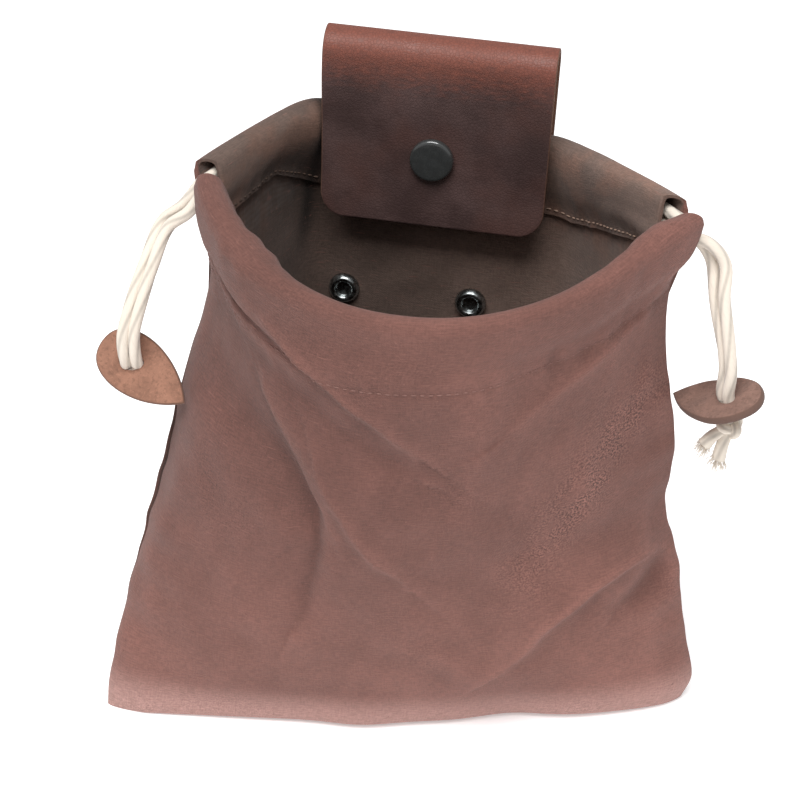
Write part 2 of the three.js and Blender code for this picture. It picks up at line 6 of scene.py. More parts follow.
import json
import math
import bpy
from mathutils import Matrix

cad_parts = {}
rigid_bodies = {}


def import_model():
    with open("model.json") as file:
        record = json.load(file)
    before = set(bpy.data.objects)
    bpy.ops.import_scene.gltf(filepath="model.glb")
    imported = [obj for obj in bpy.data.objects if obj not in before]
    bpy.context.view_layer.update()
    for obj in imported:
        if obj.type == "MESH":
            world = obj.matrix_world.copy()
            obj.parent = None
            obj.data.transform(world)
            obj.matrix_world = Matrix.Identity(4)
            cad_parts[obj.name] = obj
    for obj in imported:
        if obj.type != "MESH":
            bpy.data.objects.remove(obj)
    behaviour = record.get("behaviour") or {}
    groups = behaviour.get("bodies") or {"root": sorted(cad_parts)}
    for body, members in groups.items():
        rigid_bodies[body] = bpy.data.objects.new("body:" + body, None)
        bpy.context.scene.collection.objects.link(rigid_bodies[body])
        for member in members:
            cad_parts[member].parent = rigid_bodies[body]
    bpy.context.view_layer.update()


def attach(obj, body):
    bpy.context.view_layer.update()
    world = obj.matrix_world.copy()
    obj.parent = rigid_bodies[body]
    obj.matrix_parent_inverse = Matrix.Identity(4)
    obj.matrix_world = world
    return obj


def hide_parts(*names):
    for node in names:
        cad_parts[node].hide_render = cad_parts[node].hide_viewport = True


bl_info = {
    "name": "Drawstring Belt Pouch",
    "version": (1, 0, 0),
    "blender": (4, 5, 0),
    "location": "View3D > Sidebar > Pouch",
    "description": "Builds a waxed canvas belt pouch with a leather loop around its packed part",
    "category": "Add Mesh",
}

import bmesh
import bpy
import numpy as np
from bpy.props import FloatProperty, FloatVectorProperty, PointerProperty
from bpy.types import Operator, Panel, PropertyGroup
from mathutils import Matrix, Vector
from mathutils.geometry import tessellate_polygon

for leftover in list(bpy.data.objects):
    bpy.data.objects.remove(leftover)

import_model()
MM = 0.001
FRONT, BACK = -1, 1  # the two walls, by the way that each faces along Y
OUTWARD = {"left": -1, "right": 1}  # the two ends, by the way that each faces along X

# Canvas bag, with the names that the solids' own table has
SHIFT = np.array((2.95, -2.02, 0)) * MM  # from the table's own axis to the frame's origin
RIM = 204 * MM  # height of the rim where it meets the side seams
FRONT_SINK = 13.6 * MM  # the middle of the front rim hangs this much below the seams
BACK_SINK = 2 * MM
BACK_TILT = 0.1  # the back rim runs down to the right by this slope
EDGE = 6 * MM  # height over which a wall rounds into the bottom
TUCK = {FRONT: 0.3, BACK: 0.04}  # share of the wall's depth that the rounding takes away
CORNER_INSET = 1.2  # how far an inner layer's ends draw in from the seams, for each unit of its inset
FLAT_INSET = 0.6  # the same for the flat of the back wall
BACK_SHORT = 1.1  # how far the back's right end stops short of the seam, for each unit of the open slit
FRONT_SKEW = ((0, 60 * MM), (0.16, -0.06))  # heights, and the share that the front's bulge shifts by there
POINT_DRIFT = 0.3  # how much more pointed the front's bulge is at its right end, and less at its left
BEND = 5 * MM  # run of cloth in each of the back wall's two upright bends at the rim
FOOT_BEND = 16 * MM  # the same at the bottom
HALF_CLOTH = 107 * MM  # half the width of a wall's cloth from seam to seam
LEVEL_STEPS = 161
SEAM_SHARE = 0.06  # share of the cloth at each seam that has closer columns of points
FOOT_ROWS = (0, 0.25, 0.7, 1.4, 2.4, 3.6, 5, 6.4)  # millimetres, heights of the outside's lowest rows
FLOOR_SHARES = (0.0, 0.35, 0.7)  # rows of the bottom between its seam and the foot of a wall
FLOOR_RUN = 40 * MM
SOFT_WAVES = ((0.5, 46, 11), (0.13, 13, 5))  # millimetres of height and wavelength, and a seed
SEAM_REACH = 16 * MM  # how far from a seam its crumples and the rim's raised corners reach
TIP_REACH = 5 * MM  # the same for the rounded tips of the front rim
PEEK_REACH = 6 * MM  # and for the front's edge where the back shows past it
CRUMPLE_STARTS = (8 * MM, 30 * MM)  # the crumples come in over these heights
CRUMPLE_ENDS = (140 * MM, 165 * MM)  # and go out over these
FLARE_FOOT = 165 * MM  # the rim's corners are drawn out from this height up
SEAM_CRUMPLE = {"left": 0.28 * MM, "right": 0.1 * MM}
NOSE_DROP = {"left": 1 * MM, "right": 3.6 * MM}  # how far the front rim's tips round down
BACK_TUCK = {"left": 1 * MM, "right": 1.5 * MM}  # how far the back's ends hide behind the front
TUCK_ZONE = (184 * MM, 9 * MM)  # height where they do, and its spread
BACK_PEEK = {"left": 1.5 * MM, "right": 0}  # how far the back shows past the front's edge
PEEK_ZONE = (96 * MM, 30 * MM)
SEAM_SEED = {"left": 61, "right": 64}
CORNERS = {  # millimetres that each wall's rim is drawn outwards and up at its ends
    (FRONT, "left"): (-0.5, 3), (FRONT, "right"): (2.5, 8.5),
    (BACK, "left"): (2.5, 0.5), (BACK, "right"): (2.5, 3.5),
}
FOOT_DEPTH = 3 * MM  # how far the middle of the front's foot stands back from its corners
FOOT_HALF = 92 * MM
FOOT_FADE = (2 * MM, 34 * MM)
FOOT_HUMPS = ((3.2, 38, 15), (-2.2, -14, 14))  # millimetres of depth, place and width
RIM_HUMPS = ((2.4, 64, 15), (-1.5, 46, 8), (1.2, -50, 20))  # the same for the height of the back rim
RIM_FOOT = 150 * MM  # the back rim's rises and dips fade out down to this height

# The bag at rising heights of its side seams, in millimetres, point without a unit
SECTION_COLUMNS = (
    "height", "left_x", "left_y", "right_x", "right_y", "front", "point", "back_y", "flat", "slit",
)
SECTION_ROWS = (
    (0, -106.5, -31.5, 98, 5.5, 19, 1.15, 41, 34, 0),
    (10, -105.8, -29.8, 101, 5.1, 20, 1.2, 42.5, 35, 0),
    (26, -102.8, -27, 98.3, 4.4, 24, 1.27, 44, 36, 0),
    (50, -97.3, -23, 94.4, 3.4, 30, 1.38, 45.2, 38, 0),
    (62, -94.2, -20.9, 93.4, 2.9, 33, 1.44, 45.5, 39.4, 0),
    (75, -91, -18.7, 90, 2.3, 36, 1.5, 45.8, 41, 0),
    (90, -87.1, -16.2, 87, 1.6, 39.6, 1.56, 46.2, 43.4, 0),
    (100, -84.6, -14.5, 87.9, 1.2, 42, 1.6, 46.5, 45, 0),
    (113, -81.7, -12.3, 88.8, 0.7, 44.6, 1.65, 47.6, 45.6, 0),
    (125, -79, -10.2, 87.7, 0.2, 47, 1.7, 48.9, 46, 0),
    (150, -71.6, -6, 84, -0.9, 51.5, 1.7, 51.5, 46, 0.1),
    (170, -67.4, -2.6, 83, -1.7, 54.5, 1.7, 53.6, 46, 0.2),
    (182, -69.6, -0.5, 84, -2.25, 56.1, 1.7, 54.8, 46, 0.9),
    (190, -70.6, 0.9, 88.4, -2.65, 56.9, 1.7, 55.7, 46, 3),
    (204, -72, 3.2, 91, -3.2, 58, 1.7, 57.2, 46, 5.5),
)

# Folds in millimetres across and up the cloth: each lifts it by lift, fading over the widths on the
# two sides of its direction, with a sharp crest where blunt is small
FOLD_COLUMNS = (
    "from_across", "from_up", "via_across", "via_up", "to_across", "to_up",
    "lift", "left", "right", "blunt",
)
FRONT_FOLDS = (
    (-64, 190, -30, 184, 5, 148, 4.8, 15, 2.6, 1.05),
    (-84, 168, -40, 170, 2, 138, -2.6, 6, 16, 2),
    (-100, 146, -60, 152, -34, 118, -3.4, 10, 12, 2),
    (-56, 158, -38, 138, -26, 108, 3.4, 7, 3.2, 1.15),
    (-30, 134, -20, 112, 2, 84, 3.8, 13, 3.4, 1.1),
    (-54, 152, -19, 122, -37, 58, -4.4, 3.4, 11, 1.25),
    (8, 172, 6, 138, 4, 92, -1.8, 16, 16, 2),
    (100, 174, 66, 174, 36, 154, 2.4, 13, 4, 1.3),
    (100, 72, 70, 82, 35, 35, 4.4, 3, 13, 1.1),
    (106, 64, 94, 62, 82, 54, -4, 8, 6, 2),
    (30, 188, 26, 150, 20, 100, 1.4, 9, 13, 1.7),
    (34, 126, 46, 100, 56, 68, -1.4, 7, 9, 1.7),
    (-62, 62, -68, 40, -60, 14, 1.4, 10, 16, 1.7),
    (62, 150, 70, 120, 66, 92, 1.1, 9, 9, 1.8),
    (-6, 60, 12, 44, 40, 22, 1.2, 12, 7, 1.6),
)
BACK_FOLDS = (
    (-70, 150, -58, 96, -72, 40, -2.6, 11, 14, 1.8),
    (-40, 110, -30, 70, -36, 24, 2, 14, 9, 1.7),
    (10, 112, 16, 72, 4, 26, -2.2, 12, 12, 2),
    (46, 114, 40, 70, 56, 22, 2.4, 9, 14, 1.6),
    (88, 150, 76, 96, 90, 48, -2.6, 13, 10, 2),
    (-96, 84, -60, 70, -20, 66, 1.6, 9, 6, 1.5),
    (98, 62, 66, 54, 34, 58, 1.6, 6, 10, 1.5),
)
WORN_BAND = (106, 145, 68, 130, 44, 74, 1, 10, 14, 2)  # where the canvas is rubbed rough, as a fold's row
FOLD_STEPS = 18
# The crease values paint light on fold ridges and shade in fold valleys
CREASE_REACH = 4  # rows and columns of cloth over which a crease stands out from its surroundings

# Hem casing: millimetres below the rim and inside the outer face
CASING = 7.8 * MM
HEM_PROFILE = (
    (4, 0), (1.2, 1.1), (0, 3.9), (1.2, 6.6), (4, 7.6), (10, 7.5), (15, 6.6), (22, 4.6), (28, 2.9),
)
CHANNEL_PROFILE = (
    (4, 1.4), (2, 2.2), (1.4, 3.9), (2, 5.5), (4, 6.2), (10, 6.1),
    (14.5, 5.4), (21, 3.4), (26, 1.8), (25, 1.4), (14, 1.4),
)
CASING_TALL = 28 * MM
GATHERED = {"left": (-82 * MM, -18 * MM), "right": (40 * MM, 95 * MM)}  # where the front casing swells
BACK_GATHER = 0.25  # share of that swelling on the back wall
PUFF = {"hem": 0.15 * MM, "left": 3.9 * MM, "right": 2.6 * MM}  # how far the layers swell apart
NOSE = 9 * MM  # run over which the swelling rounds to nothing at a seam
PINCH = 4.2 * MM  # depth of the pinched line under the gathered left end
HEM_EDGE = 30 * MM  # lower edge of the turned hem below the rim
CAP_SPLIT = 164 * MM  # above this height a wall's end is closed round the casing's mouth
STITCH_BELOW = 27.8 * MM
RIM_ROWS = {FRONT: 20, BACK: 6}  # rows of the turned rim that still show the outside's colour
# the pleat is also darkened by painted shade in the canvas colour
PLEAT = -49.5 * MM  # across the back wall, where its inside is pressed into a narrow pleat

# Leather loop, measured from the middle of the back rim along the leaning wall
STRAP_BOTTOM = -86 * MM
FLAP_BOTTOM = -36 * MM
LOOP_TOP = 29.5 * MM
FLAP_STAND = 3.4 * MM  # room between the casing and the flap, which the snap's socket and stud take
SOFT_CUT = 0.45 * MM  # radius that the strap's cut edges are softened by
FLAP_TAPER = 0.045  # share by which the flap's left half narrows towards its lower edge
GAP = 0.3 * MM
AXIS = 0.05  # millimetres, the radius at which a turned profile starts and ends
SHANK = 1.5  # millimetres, the radius of the snaps' shanks
SNAP_AT = (0, -11.5 * MM)
RINGS_AT = {"left": (-29.3 * MM, -69 * MM), "right": (15.7 * MM, -69 * MM)}

# Cords: the lane of each in the casings, and the toggles' places and headings on the loose ends
LANES = {"left": (6.2 * MM, 3.5 * MM), "right": (10.5 * MM, 3.5 * MM)}
STRAND_STEP = 1.9 * MM  # from the middle of a toggle's hole to each of the two strands in it
TOGGLES = {
    "left": {
        "centre": (-88.9, -16.4, 135.9), "long": (0.853, -0.356, -0.382), "face": (-0.016, -0.749, 0.663),
        "hole": -4.8, "slant": 35, "reach": 14, "bow": -1, "front_rise": -10, "back_rise": -9,
    },
    "right": {
        "centre": (101.2, -9, 139.8), "long": (-0.745, 0.543, -0.389), "face": (-0.476, -0.024, 0.879),
        "hole": -5.3, "slant": 160, "reach": 12, "bow": -1.5, "front_rise": -1.7, "back_rise": -1.2,
    },
}
TAILS = {"left": ((6, 8, -3), (-2, 9, -4)), "right": ((-8, -2, -7), (-3, -2, -12))}
KNOT = 4.6 * MM
PACKED = 0.86  # share of a cord's thickness that is left where it is pulled tight in a knot
HOLE = (4.2 * MM, 2.5 * MM)  # half the length and half the width of the hole in a toggle
LEAF_EDGE = 0.7 * MM  # radius that a toggle's edge is softened by
HAIRS = 90  # loose fibres on each tail
HAIR = 0.17 * MM

# Stage
FLOOR_GLOW = 0.3  # even light from the pale floor, which washes its shadows out
FLOOR_HALF = 4.0
LAMP_SIZE = (1.4, 1.2)
LAMP_AT = (-0.1, -0.75, 2.2)
AIM = (-1.65, -2.02, 122.3)  # millimetres, the point that the camera looks at
SENSOR = 36


def tone(red, green, blue):
    """A screen colour, 0 to 255, as the linear colour that shaders take"""
    shares = [value / 255 for value in (red, green, blue)]
    return tuple(s / 12.92 if s <= 0.04045 else ((s + 0.055) / 1.055) ** 2.4 for s in shares)


def length_setting(name, description, default):
    return FloatProperty(name=name, description=description, default=default, unit="LENGTH", precision=5)


def colour_setting(name, description, default):
    return FloatVectorProperty(name=name, description=description, default=default, subtype="COLOR", size=3)


class PouchCloth(PropertyGroup):
    """Canvas, its weave and its stitches"""

    thickness: length_setting("Canvas", "Thickness of the cloth", 1.4 * MM)
    weave: length_setting("Weave", "Distance between neighbouring threads", 0.62 * MM)
    stitch: length_setting("Stitch", "Length of one stitch", 1.9 * MM)
    spacing: length_setting("Stitch Spacing", "Distance from one stitch to the next", 2.7 * MM)
    thread: length_setting("Thread", "Thickness of the sewing thread", 0.55 * MM)
    colour: colour_setting("Canvas Colour", "Outside of the waxed canvas", tone(115, 79, 71))
    inside: colour_setting("Inside Colour", "Inside of the canvas", tone(97, 80, 72))
    # painted bounce light from the floor: paler canvas along the bottom edge
    foot_bounce_light: colour_setting("Foot Bounce Colour", "Paler canvas along the bottom edge", tone(184, 146, 138))
    stain: colour_setting("Stain Colour", "Redder patches inside the hem", tone(114, 85, 72))
    outer_thread: colour_setting("Outer Thread", "Thread on the outside, worn in", tone(137, 101, 93))
    inner_thread: colour_setting("Inner Thread", "Thread on the inside", tone(186, 156, 138))


class PouchLeather(PropertyGroup):
    """Leather loop and its snaps"""

    thickness: length_setting("Leather", "Thickness of the strap", 1.9 * MM)
    width: length_setting("Strap Width", "Width of the strap along the belt", 78.4 * MM)
    corner: length_setting("Strap Corner", "Radius of the strap's corners", 9 * MM)
    lean: FloatProperty(
        name="Lean", description="Backward lean of the loop", default=math.radians(6), subtype="ANGLE"
    )
    roll: FloatProperty(
        name="Roll", description="Sideways turn of the loop", default=math.radians(2.4), subtype="ANGLE"
    )
    cap: length_setting("Cap Radius", "Radius of the snap's cap", 7.5 * MM)
    ring: length_setting("Ring Radius", "Radius of the ring snaps", 5.5 * MM)
    colour: colour_setting("Leather Colour", "Grain side of the leather", tone(73, 56, 54))
    # partly grain drawn paler, partly a painted highlight where the bend faces the light
    ruddy: colour_setting("Worn Colour", "Redder patches of worn grain", tone(81, 56, 51))
    pale_bend_and_highlight: colour_setting("Bend Colour", "Grain drawn paler over the bend, under a painted highlight", tone(121, 72, 60))
    cut: colour_setting("Cut Colour", "Raw cut edges", tone(112, 82, 68))
    flesh: colour_setting("Flesh Colour", "Rough side of the leather", tone(120, 84, 66))
    metal: colour_setting("Snap Colour", "Black enamel of the snaps", tone(26, 27, 27))


class PouchCords(PropertyGroup):
    """Cotton cords, leather toggles and knots"""

    diameter: length_setting("Cord", "Diameter of the cord", 4.1 * MM)
    twist: length_setting("Twist", "Length in which a strand goes round once", 60 * MM)
    toggle_length: length_setting("Toggle Length", "Length of a leaf", 36.5 * MM)
    toggle_width: length_setting("Toggle Width", "Width of a leaf", 22 * MM)
    toggle_thickness: length_setting("Toggle Thickness", "Thickness of a leaf", 2.8 * MM)
    fibre: length_setting("Fibre", "Length of a loose fibre at a frayed end", 4.5 * MM)
    colour: colour_setting("Cord Colour", "Cotton of the cords", tone(224, 213, 199))
    left_toggle: colour_setting("Left Toggle", "Raw leather of the left toggle", tone(144, 105, 87))
    right_toggle: colour_setting("Right Toggle", "Darker leather of the right toggle", tone(130, 101, 90))


class PouchStage(PropertyGroup):
    """Floor, light and camera"""

    azimuth: FloatProperty(
        name="Azimuth", description="Camera's turn to the right", default=math.radians(9), subtype="ANGLE"
    )
    elevation: FloatProperty(
        name="Elevation", description="Camera's height angle", default=math.radians(34.5), subtype="ANGLE"
    )
    distance: length_setting("Distance", "From the camera to the point it aims at", 0.85)
    lens: FloatProperty(name="Lens", description="Focal length on a 36 mm sensor", default=112.9)
    sky: FloatProperty(name="Sky", description="Strength of the even white light", default=0.48)
    overhead: FloatProperty(
        name="Overhead", description="Power of the overhead soft light", default=60, unit="POWER"
    )
    floor: colour_setting("Floor Colour", "Pale floor", (0.94, 0.938, 0.945))


class Wire:
    """A node's socket that adds Math nodes where it meets an operator"""

    def __init__(self, graph, socket):
        self.graph = graph
        self.socket = socket

    def meet(self, operation, first, second=0.0):
        return self.graph.node("ShaderNodeMath", {"operation": operation}, {0: first, 1: second})

    def __add__(self, other):
        return self.meet("ADD", self, other)

    def __sub__(self, other):
        return self.meet("SUBTRACT", self, other)

    def __rsub__(self, other):
        return self.meet("SUBTRACT", other, self)

    def __mul__(self, other):
        return self.meet("MULTIPLY", self, other)

    __radd__ = __add__

    def sine(self):
        return self.meet("SINE", self)


class Graph:
    """A node tree whose nodes are made in one call, with their settings and inputs"""

    def __init__(self, tree):
        self.tree = tree

    def node(self, kind, settings=None, inputs=None, output=0):
        made = self.tree.nodes.new(kind)
        for name, value in (settings or {}).items():
            setattr(made, name, value)
        for name, value in (inputs or {}).items():
            self.feed(made.inputs[name], value)
        return Wire(self, made.outputs[output]) if made.outputs else made

    def feed(self, socket, value):
        if isinstance(value, Wire):
            self.tree.links.new(value.socket, socket)
        else:
            socket.default_value = value


class Finish(Graph):
    """A material: one Principled shader and the nodes that feed it"""

    def __init__(self, name, **constants):
        self.material = bpy.data.materials.new(name)
        self.material.use_nodes = True
        super().__init__(self.material.node_tree)
        self.shader = self.tree.nodes["Principled BSDF"]
        for socket, value in constants.items():
            self.shader.inputs[socket.replace("_", " ")].default_value = value

    def colour(self, value):
        self.feed(self.shader.inputs["Base Color"], value)

    def roughness(self, value):
        self.feed(self.shader.inputs["Roughness"], value)

    def relief(self, height, depth, strength=1.0):
        inputs = {"Height": height, "Distance": depth, "Strength": strength}
        self.feed(self.shader.inputs["Normal"], self.node("ShaderNodeBump", inputs=inputs))

    def noise(self, place, scale, detail=3.0, roughness=0.55):
        inputs = {"Vector": place, "Scale": scale, "Detail": detail, "Roughness": roughness}
        return self.node("ShaderNodeTexNoise", inputs=inputs)

    def ramp(self, value, low, high, start=0.0, end=1.0):
        inputs = {"Value": value, "From Min": low, "From Max": high, "To Min": start, "To Max": end}
        return self.node("ShaderNodeMapRange", {"interpolation_type": "SMOOTHSTEP"}, inputs)

    def blend(self, first, second, factor, kind="MIX"):
        settings = {"data_type": "RGBA", "blend_type": kind}
        inputs = {0: factor, 6: opaque(first), 7: opaque(second)}
        return self.node("ShaderNodeMix", settings, inputs, output=2)

    def scaled(self, colour, share):
        """A colour made lighter or darker by a share that varies"""
        grey = self.node("ShaderNodeCombineColor", inputs={k: share for k in range(3)})
        return self.blend(colour, grey, 1.0, "MULTIPLY")

    def attribute(self, name):
        return self.node("ShaderNodeAttribute", {"attribute_name": name}, output="Fac")

    def patches(self, place, scale, detail, low, high):
        """Random patches, 0 to 1, that come in between two levels of a noise"""
        return self.ramp(self.noise(place, scale, detail), low, high)

    def object_place(self):
        return self.node("ShaderNodeTexCoord", output="Object")

    def surface_map(self, name):
        """A UV map in metres, with its two coordinates"""
        place = self.node("ShaderNodeUVMap", {"uv_map": name})
        return place, *(self.node("ShaderNodeSeparateXYZ", inputs={0: place}, output=k) for k in (0, 1))

    def stretched(self, across, along, *scales):
        return self.node("ShaderNodeCombineXYZ", inputs={0: across * scales[0], 1: along * scales[1]})


class Growth(Graph):
    """A Geometry Nodes tree that grows one small piece on each point, with named sizes"""

    def __init__(self, name, *sizes):
        super().__init__(bpy.data.node_groups.new(name, "GeometryNodeTree"))
        sockets = self.tree.interface
        sockets.new_socket("Geometry", in_out="INPUT", socket_type="NodeSocketGeometry")
        for size in sizes:
            sockets.new_socket(size, in_out="INPUT", socket_type="NodeSocketFloat")
        sockets.new_socket("Geometry", in_out="OUTPUT", socket_type="NodeSocketGeometry")

    def given(self, name):
        return self.node("NodeGroupInput", output=name)

    def stored(self, name):
        """A vector that the points carry"""
        return self.node("GeometryNodeInputNamedAttribute", {"data_type": "FLOAT_VECTOR"}, {"Name": name})

    def random_vector(self, low, high, seed):
        inputs = {0: low, 1: high, "Seed": seed}
        return self.node("FunctionNodeRandomValue", {"data_type": "FLOAT_VECTOR"}, inputs)

    def laid(self, piece, turn, scale):
        inputs = {"Points": self.given("Geometry"), "Instance": piece, "Rotation": turn, "Scale": scale}
        return self.node("GeometryNodeInstanceOnPoints", inputs=inputs)

    def plain(self, geometry):
        return self.node("GeometryNodeRealizeInstances", inputs={"Geometry": geometry})

    def ended(self, geometry, material):
        """The tree, ended with plain smooth geometry in one material"""
        smooth = self.node("GeometryNodeSetShadeSmooth", inputs={"Geometry": self.plain(geometry)})
        coated = self.node("GeometryNodeSetMaterial", inputs={"Geometry": smooth, "Material": material})
        self.node("NodeGroupOutput", inputs={"Geometry": coated})
        return self.tree


def opaque(colour):
    return colour if isinstance(colour, Wire) else (*colour[:3], 1.0)


def shaded(colour, share):
    """A colour made lighter or darker"""
    return tuple(min(1.0, channel * share) for channel in colour)


def outside_canvas(finish, cloth, across, cloud):
    """The outside's colour: painted bounce light from the floor towards the foot, a little lighter to the
    right, and painted shade at its upper left
    """
    rise = finish.attribute("rise")
    # painted bounce light, lighter towards the foot; the canvas also gets a little lighter to the right
    painted_bounce = finish.ramp(rise, 0.0, 0.6, 1.29, 1.0) * finish.ramp(across, -80 * MM, 90 * MM, 0.96, 1.07)
    shade = finish.ramp(across, -60 * MM, 20 * MM, 0.12, 0.0) * finish.ramp(rise, 0.3, 0.6)
    colour = finish.blend(shaded(cloth.colour, 0.87), shaded(cloth.colour, 1.07), cloud)
    colour = finish.scaled(colour, painted_bounce - shade)
    # painted bounce light: blends to a paler colour along the bottom edge
    return finish.blend(colour, cloth.foot_bounce_light, finish.ramp(rise, 0.02, 0.11, 0.75, 0.0))


def inside_canvas(finish, cloth, place, across, cloud):
    """The inside's colour: stained in the hem, with painted shade deeper down and to the left, painted
    light on the hem to the right, and a painted shadow in the pleat
    """
    rise = finish.attribute("rise")
    hem = finish.ramp(rise, 0.79, 0.87)
    stain = finish.patches(place, 44, 3.0, 0.42, 0.66) * hem
    colour = finish.blend(shaded(cloth.inside, 0.8), shaded(cloth.inside, 1.18), cloud)
    colour = finish.blend(colour, cloth.stain, stain * 0.75)
    # painted shade: darker deeper down and towards the left
    deep = finish.ramp(across, -90 * MM, 50 * MM, 0.66, 1.38) * finish.ramp(rise, 0.5, 0.8, 0.85, 1.17)
    # painted light: the hem lighter towards the right
    high = finish.ramp(across, -80 * MM, 60 * MM, 0.86, 1.45)
    colour = finish.scaled(colour, deep + (high - deep) * hem)
    # painted shadow in the pleat at the back's left corner
    return finish.scaled(colour, 1 - finish.attribute("pleat") * 0.75)


def canvas_finish(cloth):
    """Waxed canvas with slubs and flecks in its weave, painted light on fold ridges and painted shade in
    fold valleys, rubbed rough in a band
    """
    finish = Finish("waxed_canvas", Specular_IOR_Level=0.2, Sheen_Weight=0.1, Sheen_Roughness=0.5)
    place, across, along = finish.surface_map("cloth")
    turns = 2 * math.pi / cloth.weave
    threads = (across * turns).sine() * (along * turns).sine()
    weft = finish.noise(finish.stretched(across, along, 330, 1900), 1.0, 2.0)
    warp = finish.noise(finish.stretched(across, along, 1700, 300), 1.0, 2.0)
    slub = finish.patches(finish.stretched(across, along, 160, 1500), 1.0, 1.0, 0.64, 0.76)
    cloud = finish.patches(place, 26, 5.0, 0.3, 0.7)
    grain = finish.noise(place, 1500, 2.0)
    rubbed = finish.patches(place, 17, 2.0, 0.5, 0.68)
    fleck = finish.patches(place, 520, 1.0, 0.74, 0.79)
    pale = finish.patches(place, 830, 1.0, 0.72, 0.78)
    # painted light and shade: lighter on fold ridges, darker in fold valleys
    crest = finish.ramp(finish.attribute("crease"), -0.7 * MM, 0.7 * MM, 0.82, 1.16)
    weave = finish.ramp(weft * 1.3 + warp * 0.7, 0.75, 1.25, 0.86, 1.14)
    worn = finish.attribute("worn") * finish.patches(place, 120, 3.0, 0.3, 0.55)
    crumbs = finish.patches(place, 1250, 1.0, 0.36, 0.64) - 0.5
    sandy = 1 + (finish.ramp(grain, 0.3, 0.7) - 0.5) * (0.1 + rubbed * 0.3) + crumbs * worn * 1.15

    outside = outside_canvas(finish, cloth, across, cloud)
    inside = inside_canvas(finish, cloth, place, across, cloud)
    colour = finish.blend(outside, inside, finish.attribute("inside"))
    colour = finish.scaled(colour, crest * weave * sandy)
    colour = finish.blend(colour, shaded(cloth.colour, 1.6), slub * 0.4 + pale * 0.5)
    finish.colour(finish.blend(colour, shaded(cloth.colour, 0.35), fleck * 0.4))
    finish.roughness(finish.ramp(weft, 0.3, 0.7, 0.74, 0.88))
    finish.relief(threads * 0.4 + warp * 0.7 + weft * 1.2 + grain * 0.5, 0.2 * MM, 0.8)
    return finish.material


def thread_finish(name, colour, darkest_shade):
    """Sewing thread, darkened by painted shade towards the left down to a share of its colour, and more
    past the back's pleat
    """
    finish = Finish(name, Specular_IOR_Level=0.25, Roughness=0.7)
    place = finish.object_place()
    ply = finish.patches(place, 2600, 1.0, 0.3, 0.7)
    across = finish.node("ShaderNodeSeparateXYZ", inputs={0: place})
    # painted shade: darker towards the left, and more left of the pleat
    painted_shade = finish.ramp(across, -62 * MM, 70 * MM, darkest_shade, 1.0)
    painted_shade = painted_shade * finish.ramp(across, -54 * MM, -44 * MM, darkest_shade, 1.0)
    finish.colour(finish.scaled(finish.blend(shaded(colour, 0.75), colour, ply), painted_shade))
    finish.relief(ply, 0.08 * MM)
    return finish.material


def leather_finish(leather):
    """Grained leather with ruddy wear, drawn paler and with a painted highlight over the bend, rough on its
    flesh side and cut edges
    """
    finish = Finish("loop_leather", Specular_IOR_Level=0.22)
    place, across, along = finish.surface_map("hide")
    pores = finish.node(
        "ShaderNodeTexVoronoi", {"feature": "DISTANCE_TO_EDGE"}, {"Vector": place, "Scale": 900}
    )
    grain = finish.ramp(pores, 0.0, 0.18)
    cloud = finish.ramp(finish.noise(place, 48, 5.0, 0.62), 0.3, 0.7)
    scuffs = finish.noise(finish.stretched(across, along, 260, 700), 1.0, 4.0)
    # the bend: grain drawn paler and a painted highlight, with a scuffed edge
    pale_bend_and_highlight = finish.ramp(finish.attribute("bend") + (scuffs - 0.5) * 0.9, 0.2, 1.1)

    ruddy = finish.patches(place, 30, 3.0, 0.42, 0.64)
    colour = finish.blend(shaded(leather.colour, 0.75), shaded(leather.colour, 1.3), cloud)
    colour = finish.blend(colour, leather.ruddy, ruddy * 0.7)
    colour = finish.blend(colour, leather.pale_bend_and_highlight, pale_bend_and_highlight)
    colour = finish.blend(colour, shaded(leather.pale_bend_and_highlight, 1.3), finish.ramp(scuffs, 0.6, 0.8) * pale_bend_and_highlight * 0.6)
    colour = finish.blend(colour, shaded(leather.colour, 0.5), (1 - grain) * 0.25)
    flesh = finish.blend(shaded(leather.flesh, 0.75), shaded(leather.flesh, 1.15), finish.noise(place, 700))
    colour = finish.blend(colour, flesh, finish.attribute("flesh"))
    fibres = finish.noise(finish.stretched(across, along, 2200, 300), 1.0, 2.0)
    cut = finish.blend(shaded(leather.cut, 0.7), leather.cut, fibres)
    finish.colour(finish.blend(colour, cut, finish.attribute("cut")))
    rough = finish.ramp(cloud + scuffs * 0.5, 0.2, 1.2, 0.4, 0.56)
    finish.roughness(rough + finish.attribute("flesh") * 0.35 + finish.attribute("cut") * 0.3)
    finish.relief(grain * 0.5 + scuffs * 0.5 + cloud * 0.4, 0.14 * MM, 0.6)
    return finish.material


def snap_finish(leather):
    """Glossy black enamel"""
    finish = Finish("black_enamel", Specular_IOR_Level=0.5, Coat_Roughness=0.06)
    place = finish.object_place()
    haze = finish.patches(place, 420, 4.0, 0.35, 0.7)
    finish.colour(finish.blend(shaded(leather.metal, 3), shaded(leather.metal, 3.5), haze))
    finish.roughness(finish.ramp(haze, 0.0, 1.0, 0.2, 0.3))
    finish.feed(finish.shader.inputs["Coat Weight"], finish.ramp(haze, 0.0, 1.0, 1.0, 0.8))
    return finish.material


def ring_finish(leather):
    """Blackened steel, darker behind the wall"""
    finish = Finish("blackened_steel", Metallic=1.0)
    place = finish.object_place()
    haze = finish.patches(place, 600, 4.0, 0.35, 0.7)
    colour = finish.blend(shaded(leather.metal, 22), shaded(leather.metal, 38), haze)
    finish.colour(finish.blend(colour, shaded(leather.metal, 4), finish.attribute("behind")))
    finish.roughness(finish.ramp(haze, 0.0, 1.0, 0.24, 0.34))
    finish.relief(haze, 0.02 * MM)
    return finish.material


